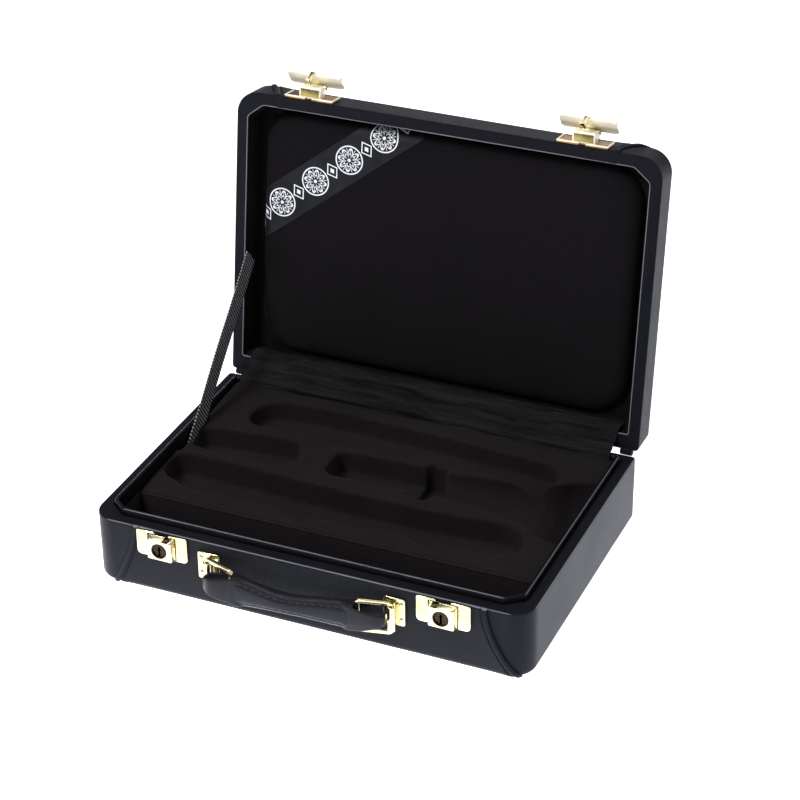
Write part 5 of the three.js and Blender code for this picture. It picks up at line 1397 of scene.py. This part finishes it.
for i, side_ in enumerate(("left", "right")):
    cx = LATCH_X[i]
    d = 1 if i else -1
    build(f"latch_{side_}_base_plate", *prism(base_plate_outline(cx), K(1.35), K(0.25)), GILT, "base",
          (f"latch_base_plate_{side_}",), "gilt_brass", bevel=0.32)
    # lock block: drafted, with rounded edges, a round recess and a slot for the hasp's tab
    rows = []
    for w, k, z0, z1, r in ((10.4, 1.45, 31.5, 49.6, 0.8), (10.2, 2.4, 31.65, 49.4, 0.9), (9.5, 5.2, 32.0, 48.8, 1.2), (9.2, 5.75, 32.35, 48.5, 1.3), (8.7, 6.0, 32.85, 48.0, 1.3)):
        rr = round_rect(2 * w, z1 - z0, r, 4)
        rows.append([(cx + p, K(k), (z0 + z1) / 2 + q) for p, q in rr])
    o = build(f"lock_{side_}_block", *lofted(rows), GILT_BLOCK, None, (), "gilt_brass")
    holes = [rod("y", 5.25, K(8), K(2.6), cx, 40.0, seg=40, ends=0.05)]
    holes.append(prism([(cx - d * 7.3, 47.75), (cx - d * 2.7, 47.75), (cx - d * 2.7, 52), (cx - d * 7.3, 52)], K(8), K(0)))
    boolean(o, *holes)
    o.data.shade_smooth()
    o.data.set_sharp_from_angle(angle=math.radians(42))
    m = o.modifiers.new("edge", "BEVEL")
    m.width, m.segments, m.limit_method, m.angle_limit = 0.25 * MM, 2, "ANGLE", math.radians(50)
    apply_modifiers(o)
    o.data.shade_smooth()
    o.data.set_sharp_from_angle(angle=math.radians(42))
    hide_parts(f"lock_slide_{side_}")
    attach(o, f"lock_slide_{side_}")
    # a thin dark sheet just under the block, showing as a dark line round it: a painted shadow of the gap between block
    # and plate
    shadow_gap_sheet = prism(round_rect(22.2, 19.5, 0.8, 3) + np.array([cx, 40.5]), K(1.5), K(1.38))
    build(f"lock_{side_}_foot", *shadow_gap_sheet, BARREL, f"lock_slide_{side_}", slot="lock_barrel")
    # raised collar round the barrel
    col = tube(np.array([(cx + 5.5 * math.cos(a), K(6.0), 40 + 5.5 * math.sin(a)) for a in np.linspace(0, 2 * math.pi, 40, endpoint=False)]), circle(0.5, 8), closed=True, up=(0, 1, 0))
    build(f"lock_{side_}_collar", *col, BARREL, f"lock_slide_{side_}", slot="lock_barrel")
    # key barrel
    prof = [(4.95, 2.6), (4.95, 5.0), (4.6, 5.45), (3.6, 5.55), (3.3, 5.2), (2.1, 5.15), (1.75, 5.5), (0.2, 5.55)]
    V, n = [], 36
    for q, k in prof:
        for t in range(n):
            a = 2 * math.pi * t / n
            V.append((cx + q * math.cos(a), K(k), 40 + q * math.sin(a)))
    F = grid_faces(len(prof), n, close_v=True, flip=False).tolist()
    F.append(list(range(n))[::-1])
    F.append([(len(prof) - 1) * n + t for t in range(n)])
    o = build(f"lock_{side_}_barrel", V, F, BARREL, None, (), "lock_barrel", angle=40)
    slotcut = prism([(cx - 0.85, 35.6), (cx + 0.85, 35.6), (cx + 0.85, 43.2), (cx - 0.85, 43.2)], K(7), K(3.8))
    boolean(o, slotcut)
    o.data.shade_smooth()
    o.data.set_sharp_from_angle(angle=math.radians(40))
    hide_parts(f"lock_cylinder_{side_}")
    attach(o, f"lock_cylinder_{side_}")

    # lid plate: raised borders, a boxed spring housing and two cheeks for the pin
    ay, az = K(7.6), 67.0
    z0 = LID_Z0 + 0.7
    pl = [(cx - 19.75, z0 + 1), (cx - 18.75, z0), (cx - 2.6, z0), (cx - 2.4, z0 + 1.7), (cx + 2.4, z0 + 1.7), (cx + 2.6, z0), (cx + 18.75, z0), (cx + 19.75, z0 + 1)]
    top_z = 70.0
    for a in np.linspace(0, math.pi / 2, 6):
        pl.append((cx + 17.75 + 2 * math.cos(a), top_z - 2 + 2 * math.sin(a)))
    for a in np.linspace(math.pi / 2, math.pi, 6):
        pl.append((cx - 17.75 + 2 * math.cos(a), top_z - 2 + 2 * math.sin(a)))
    # the lid plate is in the brown copy of the brass: painted shade beside the housing
    build(f"latch_{side_}_lid_plate", *prism(pl, K(1.3), K(0.25)), GILT_PAINTED_SHADE, "lid", (f"latch_lid_plate_{side_}",), "gilt_brass", bevel=0.25, turn=opened)

    def slab_xz(x0, x1, za, zb, k0, k1):
        return prism([(x0, za), (x1, za), (x1, zb), (x0, zb)], K(k1), K(k0))

    border = [
        slab_xz(cx - 19.4, cx - 2.6, z0 + 0.15, 56.0, 1.2, 2.15), slab_xz(cx + 2.6, cx + 19.4, z0 + 0.15, 56.0, 1.2, 2.15),
        slab_xz(cx - 19.45, cx - 18.1, 55.9, 68.6, 1.2, 2.15), slab_xz(cx + 18.1, cx + 19.45, 55.9, 68.6, 1.2, 2.15),
    ]
    # the borders are in the pale copy of the brass: painted highlight
    build(f"latch_{side_}_lid_plate_border", *merge(*border), GILT_PAINTED_HIGHLIGHT, "lid", slot="gilt_brass", bevel=0.3, turn=opened)
    rows = []
    for w, k, za, zb, r in ((8.75, 1.2, 56.4, 64.3, 0.5), (8.6, 5.0, 56.55, 64.2, 0.6), (8.5, 8.3, 56.7, 64.1, 0.7), (8.3, 9.0, 56.95, 63.9, 0.8), (7.8, 9.4, 57.5, 63.4, 0.8)):
        rows.append([(cx + p, K(k), (za + zb) / 2 + q) for p, q in round_rect(2 * w, zb - za, r, 4)])
    # the spring housing is in the pale copy of the brass: painted highlight on its top
    build(f"latch_{side_}_spring_housing", *lofted(rows), GILT_PAINTED_HIGHLIGHT, "lid", slot="gilt_brass", turn=opened, angle=42)
    # a thin dark sheet on the housing's rim-side face, which looks forward with the lid open, darker than its top:
    # painted shade
    build(f"latch_{side_}_housing_front_shade", *slab_xz(cx - 7.3, cx + 7.3, 56.2, 57.0, 2.4, 7.9), GILT_PAINTED_FRONT_SHADE, "lid", slot="gilt_brass", turn=opened, bevel=0.1)
    cheeks = []
    for p, q in ((-8.6, -5.6), (5.6, 8.6)):
        cheeks += [rod("x", 2.0, cx + p, cx + q, ay, az), slab_xz(cx + p, cx + q, 63.6, 68.4, 1.2, 7.6)]
    build(f"latch_{side_}_cheeks", *merge(*cheeks), GILT, "lid", slot="gilt_brass", turn=opened, angle=40)
    build(f"latch_{side_}_pin", *rod("x", 0.95, cx - 9.4, cx + 9.4, ay, az, seg=18), GILT, "lid", (f"hasp_pin_{side_}",), "gilt_brass", angle=40, turn=opened)

    # hasp: knuckle, web, a flap with a bend along it and a finger lip, and the prong with its hook
    def hasp_turn(P, ay=ay, az=az):
        return opened(turned(P, HASP_OPEN, ay, az))

    zs = [(69.4, 10.1), (69.0, 10.42), (68.2, 10.55), (66.4, 10.55), (64.6, 10.5), (64.1, 10.35), (63.6, 10.2), (60.5, 10.2), (57.4, 10.25), (56.2, 10.45), (55.3, 10.9), (54.75, 11.6)]
    xsf = np.concatenate([[-21.4, -21.25, -20.8, -19.9, -18.6], np.linspace(-17.0, 17.0, 15), [18.6, 19.9, 20.8, 21.25, 21.4]])
    drop = np.array([3.0, 2.0, 1.1, 0.4, 0.05] + [0] * 15 + [0.05, 0.4, 1.1, 2.0, 3.0])
    rowsF = []
    for z, k in zs:
        f2 = (69.4 - z) / 14.65
        zz2 = np.where(f2 > 0.5, z + drop * (f2 - 0.5) * 2, z - drop * (0.5 - f2) * 2)
        rowsF.append(np.stack([cx + xsf, np.full_like(xsf, K(k)), zz2], 1))
    Pm = np.stack(rowsF, 1)
    Nn = normals(Pm)
    V1, F1 = slab(Pm - Nn * 0.5, Pm + Nn * 0.5)
    # the flap is in the pale copy of the brass: painted highlight
    build(f"hasp_{side_}_flap", V1, F1[:, ::-1], GILT_PAINTED_HIGHLIGHT, f"hasp_{side_}", (f"hasp_{side_}",), "gilt_brass", bevel=0.2, turn=hasp_turn)
    body_parts = [
        rod("x", 2.0, cx - 5.3, cx + 5.3, ay, az),
        slab_xz(cx - 5.3, cx + 5.3, 65.6, 68.4, 7.6, 10.3),
        slab_xz(cx - 1.8, cx + 1.8, 53.6, 55.1, 0.5, 10.6),
        slab_xz(cx - 1.8, cx + 1.8, 49.1, 54.9, 0.5, 1.3),
    ]
    build(f"hasp_{side_}_knuckle_and_hook", *merge(*body_parts), GILT, f"hasp_{side_}", slot="gilt_brass", turn=hasp_turn, bevel=0.2)

# ------------------------------------------------------------------ handle
for i, side_ in enumerate(("left", "right")):
    bx, s = BAIL_X[i], (-1 if i else 1)
    x0, x1 = (60.9, 76.6) if i else (-79.7, -63.1)
    by = K(4.5)
    rx = 73.9 if i else -77.0
    pl = round_rect(x1 - x0, 45 - 23.3, 1.4, 4) + np.array([(x0 + x1) / 2, (45 + 23.3) / 2])
    build(f"handle_{side_}_plate", *prism(pl, K(1.7), K(0.25)), GILT, "base", (f"handle_plate_{side_}",), "gilt_brass", bevel=0.32)
    # the knuckle is rolled out of the plate
    kn = []
    for a in np.linspace(0, 2 * math.pi, 30, endpoint=False):
        kn.append((bx + 3.25 * math.cos(a), K(4.5) + 3.25 * math.sin(a)))
    V, F = prism(kn, KNUCKLE_Z[0], KNUCKLE_Z[1], plane="xy")
    o = build(f"handle_{side_}_knuckle", V, F, GILT, None, (), "gilt_brass")
    boolean(o, rod("z", 1.75, 10, 50, bx, by, seg=24, ends=0.02))
    m = o.modifiers.new("edge", "BEVEL")
    m.width, m.segments, m.limit_method, m.angle_limit = 0.35 * MM, 3, "ANGLE", math.radians(50)
    apply_modifiers(o)
    o.data.shade_smooth()
    o.data.set_sharp_from_angle(angle=math.radians(40))
    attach(o, "base")
    web = prism([(bx - 2.6, 23.6), (bx + 2.6, 23.6), (bx + 2.6, 39.9), (bx - 2.6, 39.9)], K(2.6), K(1.5))
    build(f"handle_{side_}_web", *web, GILT, "base", slot="gilt_brass", bevel=0.3)
    build(f"handle_{side_}_rivets", *merge(*[screw(rx, K(1.65), z, face=-1, r=1.7) for z in (28.0, 40.5)]), GILT, "base", slot="gilt_brass", angle=40)
    # bail
    far = bx + s * BAIL_LEN
    r = 2.2
    zt, zb = 42.2, 18.8

    def arc_pts(cx_, cz_, a0, a1, n=7):
        return [(cx_ + r * math.cos(t), by, cz_ + r * math.sin(t)) for t in np.linspace(a0, a1, n)]

    lo, hi = min(bx, far), max(bx, far)
    path = (
        arc_pts(hi - r, zt - r, 0, math.pi / 2) + [((lo + hi) / 2, by, zt)]
        + arc_pts(lo + r, zt - r, math.pi / 2, math.pi) + [(lo, by, (zt + zb) / 2)]
        + arc_pts(lo + r, zb + r, math.pi, 1.5 * math.pi) + [((lo + hi) / 2, by, zb)]
        + arc_pts(hi - r, zb + r, 1.5 * math.pi, 2 * math.pi) + [(hi, by, (zt + zb) / 2)]
    )
    V, F = tube(path, round_rect(3.3, 2.7, 0.75, 3), closed=True, up=(0, 1, 0))
    ang = -s * math.radians(BAIL_REST[i])

    def swing(P, bx=bx, by=by, ang=ang):
        P = np.array(P, float)
        x, y = P[:, 0] - bx, P[:, 1] - by
        c, q = math.cos(ang), math.sin(ang)
        P[:, 0], P[:, 1] = bx + x * c - y * q, by + x * q + y * c
        return P

    build(f"bail_{side_}_ring", V, F, GILT, f"bail_{side_}", (f"bail_{side_}",), "gilt_brass", turn=swing, angle=60)

# leather grip: a padded middle and two open loops
LOW_EDGE = np.array([(-71, 28.2), (-68.6, 25.2), (-64.5, 23.0), (-60, 21.4), (-55, 20.5), (-50.6, 20.3), (-48, 19.2), (-44, 18.3), (-37.2, 18.6),
                     (-25, 19.9), (-13.7, 20.7), (5.6, 20.9), (16.7, 20.4), (27.8, 19.8), (38.9, 19.6), (46, 20.8), (52, 22.4), (58, 24.8),
                     (63.5, 27), (68, 30)])
TOP_EDGE = np.array([(-71, 31.5), (-68.8, 34.2), (-65.6, 36.0), (-59.9, 36.6), (-51.5, 38.6), (-44.5, 40.6), (-41.1, 40.6), (-36.2, 40), (-24.5, 38),
                     (-12.9, 36.4), (-1.6, 36.2), (13.4, 38.2), (20, 39.2), (32.7, 40.4), (39.4, 39.8), (47.8, 38), (56.2, 37.4), (64.5, 37),
                     (68, 34)])


def z_low(x):
    return np.interp(x, LOW_EDGE[:, 0], LOW_EDGE[:, 1])


def z_top(x):
    return np.interp(x, TOP_EDGE[:, 0], TOP_EDGE[:, 1])


front_line = smooth_path([(-71.6, 13.4), (-66, 17.0), (-58, 17.7), (-45, 17.4), (-30, 17.9), (-15, 18.3), (0, 17.8), (25, 16.2), (42, 15.2), (52, 15.5), (61, 15.1), (65.6, 12.6)], 120)
back_line = smooth_path([(-71.6, 10.4), (-67.5, 9.3), (-58, 9.1), (-45, 9.1), (-30, 9.5), (0, 9.3), (25, 8.1), (42, 6.6), (54, 6.3), (60, 6.9), (64, 9.4), (65.4, 11.2)], 120)


def kf(x):
    return np.interp(x, front_line[:, 0], front_line[:, 1])


def kb(x):
    return np.interp(x, back_line[:, 0], back_line[:, 1])


def cross_section(n=44, p=3.0):
    a = np.arange(n) * 2 * math.pi / n
    c, s_ = np.cos(a), np.sin(a)
    return np.sign(c) * np.abs(c) ** (2 / p), np.sign(s_) * np.abs(s_) ** (2 / p)


xs = np.linspace(-46.5, 43.0, 96)
cu, cv = cross_section(56, 3.4)
V = []
for x in xs:
    f, b_ = kf(x) + 1.0, kb(x) - 1.0
    mid, half = (f + b_) / 2, (f - b_) / 2
    endf = 1 - 0.1 * (1 - ss(-46.5, -42.5, x)) - 0.1 * ss(39, 43, x)
    full = ss(-46.5, -34, x) * (1 - ss(31, 43, x))
    z0_, z1_ = float(z_low(x)), float(z_top(x))
    zc_, hz_ = (z0_ + z1_) / 2, (z1_ - z0_) / 2
    for u, v in zip(cu, cv):
        z = zc_ + hz_ * v
        # pillow: thin at the top and bottom edges, grooved along both stitch rows
        pil = 1 - 0.34 * full * np.abs(v) ** 3
        edge = min(z1_ - z, z - z0_)
        gro = 0.6 * math.exp(-(((edge - 3.4) / 0.7) ** 2)) * (1 if abs(u) > 0.4 else 0) * float(ss(-43, -41, x) * (1 - ss(36, 38, x)))
        k = mid + np.sign(u) * (abs(u) * half * pil * endf - gro)
        V.append((x, K(k), z))
n = len(cu)
V = np.array(V)
F = grid_faces(len(xs), n, close_v=True, flip=True).tolist()
F.append(list(range(n)))
F.append([(len(xs) - 1) * n + i for i in range(n)][::-1])
grip = build("handle_padded_middle", V, F, LEATHER_GRIP, "handle_grip", ("handle_grip",), "leather", angle=70)


def loop(name, x_in, end):
    """A strap bent round the bail: along the front, round the end, back along the rear."""
    if end < 0:
        pts = [(x_in + 5, kf(x_in + 5) - 2.2), (x_in + 1, kf(x_in) - 0.45), (-50, kf(-50) - 0.1), (-57, kf(-57)), (-64, kf(-64)), (-68.2, 15.0), (-68.8, 12.2), (-67.2, 10.0), (-63, kb(-63)), (-56, kb(-56)), (-50, kb(-50) + 0.1), (x_in + 1, kb(x_in) + 0.45), (x_in + 5, kb(x_in + 5) + 2.2)]
    else:
        pts = [(x_in - 5, kf(x_in - 5) - 2.2), (x_in - 1, kf(x_in) - 0.45), (46, kf(46) - 0.1), (52, kf(52)), (60, kf(60)), (64.4, 13.8), (65.4, 11.6), (63.9, 9.3), (60, kb(60)), (52, kb(52)), (46, kb(46) + 0.1), (x_in - 1, kb(x_in) + 0.45), (x_in - 5, kb(x_in - 5) + 2.2)]
    p2 = smooth_path(pts, 110)
    t = np.gradient(p2, axis=0)
    t /= np.linalg.norm(t, axis=1, keepdims=True)
    nn = np.stack([t[:, 1], -t[:, 0]], 1)
    prof = round_rect(2.3, 2.0, 0.95, 5)
    prof[:, 1] = np.sign(prof[:, 1]) * np.abs(prof[:, 1])
    V = []
    for (x, k), (na, nb) in zip(p2, nn):
        z0_, z1_ = float(z_low(x)) + 0.15, float(z_top(x)) - 0.15
        hz_ = (z1_ - z0_) / 2
        for a, b in prof:
            # round only the outer 0.95 mm of the edges, whatever the height
            zz_ = np.sign(b) * (hz_ - 0.95 + (abs(b) - 0.05)) if abs(b) > 0.05 else 0.0
            V.append((x + na * a, K(k + nb * a), (z0_ + z1_) / 2 + zz_))
    m_ = len(prof)
    F = grid_faces(len(p2), m_, close_v=True).tolist()
    F.append(list(range(m_)))
    F.append([(len(p2) - 1) * m_ + i for i in range(m_)][::-1])
    build(name, V, F, LEATHER_GRIP, "handle_grip", slot="leather", angle=70)


loop("handle_loop_left", -44.0, -1)
loop("handle_loop_right", 40.5, 1)
# two rows of stitches on the front and on the back
for face, fn, sgn in (("front", kf, 1), ("rear", kb, -1)):
    pts, dirs, ups = [], [], []
    for up_ in (False, True):
        for x in np.arange(-40.5, 36.0, 5.6):
            f, b_ = kf(x) + 1.0, kb(x) - 1.0
            mid, half = (f + b_) / 2, (f - b_) / 2
            z0_, z1_ = float(z_low(x)), float(z_top(x))
            z = z1_ - 3.4 if up_ else z0_ + 3.4
            dzdx = float((z_top if up_ else z_low)(x + 1) - (z_top if up_ else z_low)(x - 1)) / 2
            v = abs(z - (z0_ + z1_) / 2) / ((z1_ - z0_) / 2)
            full = ss(-46.5, -34, x) * (1 - ss(31, 43, x))
            k = mid + sgn * (half * (1 - 0.34 * full * v**3) * (1 - v**3.4) ** (1 / 3.4) - 0.46)
            pts.append(np.array([x, K(k), z]))
            dirs.append((1.0, 0.0, dzdx))
            ups.append((0.0, -sgn, 0.0))
    build(f"handle_{face}_stitches", *capsules(pts, dirs, ups, 3.1, 0.5), THREAD, "handle_grip", slot="leather")

# ------------------------------------------------------------------ stage, light and camera
def stage_mesh():
    me = bpy.data.meshes.new("floor")
    me.from_pydata([(-9, -9, -0.0002), (9, -9, -0.0002), (9, 9, -0.0002), (-9, 9, -0.0002)], [], [(0, 1, 2, 3)])
    o = bpy.data.objects.new("floor", me)
    bpy.context.scene.collection.objects.link(o)
    m, nt, p = material("pale_floor")
    n = noise(nt, coords(nt), 3.0, 2.0)
    link(nt, ramp(nt, n, [(0.3, (0.93, 0.93, 0.935)), (0.7, (0.95, 0.95, 0.955))]), p.inputs["Base Color"])
    p.inputs["Roughness"].default_value = 0.7
    p.inputs["Specular IOR Level"].default_value = 0.2
    # lit from below like a light table, brightest close in front of the case and to its right
    sep = node(nt, "ShaderNodeSeparateXYZ")
    link(nt, coords(nt), sep.inputs[0])
    x_, y_ = sep.outputs["X"], sep.outputs["Y"]
    ax_ = mathn(nt, "SUBTRACT", mathn(nt, "ABSOLUTE", x_), HX * MM)
    ax_ = mathn(nt, "ADD", ax_, mathn(nt, "MULTIPLY", mathn(nt, "GREATER_THAN", x_, 0.0), 0.03))
    ay_ = mathn(nt, "SUBTRACT", mathn(nt, "ABSOLUTE", y_), HY * MM)
    near_ = span(nt, mathn(nt, "MAXIMUM", ax_, ay_), 1.0, 0.37, 0.0, 0.06)
    side_ = mathn(nt, "MULTIPLY", span(nt, x_, 0.0, 0.58, 0.155, 0.165), span(nt, x_, 1.0, 0.62, 0.18, 0.3))
    side_ = mathn(nt, "MULTIPLY", side_, span(nt, y_, 0.3, 1.0, -0.25, -0.08))
    away_ = mathn(nt, "MULTIPLY", span(nt, y_, 0.0, 0.14, 0.2, 0.34), span(nt, x_, 0.0, 1.0, 0.16, 0.22))
    glow = mathn(nt, "SUBTRACT", mathn(nt, "MAXIMUM", near_, side_), away_)
    link(nt, ramp(nt, glow, [(0.0, (0.0, 0.0, 0.0)), (1.0, (0.88, 0.91, 1.0))]), p.inputs["Emission Color"])
    p.inputs["Emission Strength"].default_value = 2.7
    me.materials.append(m)
    o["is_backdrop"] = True


stage_mesh()

world = bpy.data.worlds.new("studio")
bpy.context.scene.world = world
world.use_nodes = True
wn = world.node_tree
bg = wn.nodes["Background"]
bg.inputs["Color"].default_value = (1.0, 1.0, 1.02, 1)
bg.inputs["Strength"].default_value = 0.13


def area(name, loc, target, size, power, size_y=None):
    l = bpy.data.lights.new(name, "AREA")
    l.shape = "RECTANGLE"
    l.size, l.size_y = size, size_y or size
    l.energy = power
    o = bpy.data.objects.new(name, l)
    bpy.context.scene.collection.objects.link(o)
    o.location = loc
    o.rotation_mode = "QUATERNION"
    o.rotation_quaternion = (Vector(target) - Vector(loc)).to_track_quat("-Z", "Y")
    return o


area("top", (0.05, -0.1, 1.7), (0, 0, 0), 1.7, 10)
area("front_left", (-0.50, -0.74, 1.16), (0, 0, 0.05), 0.36, 14)
area("back", (0.0, 1.3, 0.72), (0, 0, 0.1), 1.1, 3.2, size_y=0.6)
area("right", (1.5, 0.5, 0.8), (0, 0, 0.1), 0.9, 4.5)

cam_data = bpy.data.cameras.new("camera")
cam = bpy.data.objects.new("camera", cam_data)
bpy.context.scene.collection.objects.link(cam)
az_, el_, roll_ = math.radians(23.732), math.radians(30.412), math.radians(-0.7672)
back = Vector((math.sin(az_) * math.cos(el_), -math.cos(az_) * math.cos(el_), math.sin(el_)))
fw = -back
rt = fw.cross(Vector((0, 0, 1))).normalized()
up = rt.cross(fw)
r2 = rt * math.cos(roll_) + up * math.sin(roll_)
u2 = up * math.cos(roll_) - rt * math.sin(roll_)
M = Matrix((r2, u2, back)).transposed().to_4x4()
M.translation = Vector((0.62608, -1.36432, 1.00421))
cam.matrix_world = M
cam_data.sensor_width = 36.0
cam_data.lens = 2485.2 / 800 * 36.0
cam_data.clip_start, cam_data.clip_end = 0.05, 40.0
bpy.context.scene.camera = cam

bpy.context.scene.view_settings.view_transform = "Standard"

lo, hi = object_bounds()
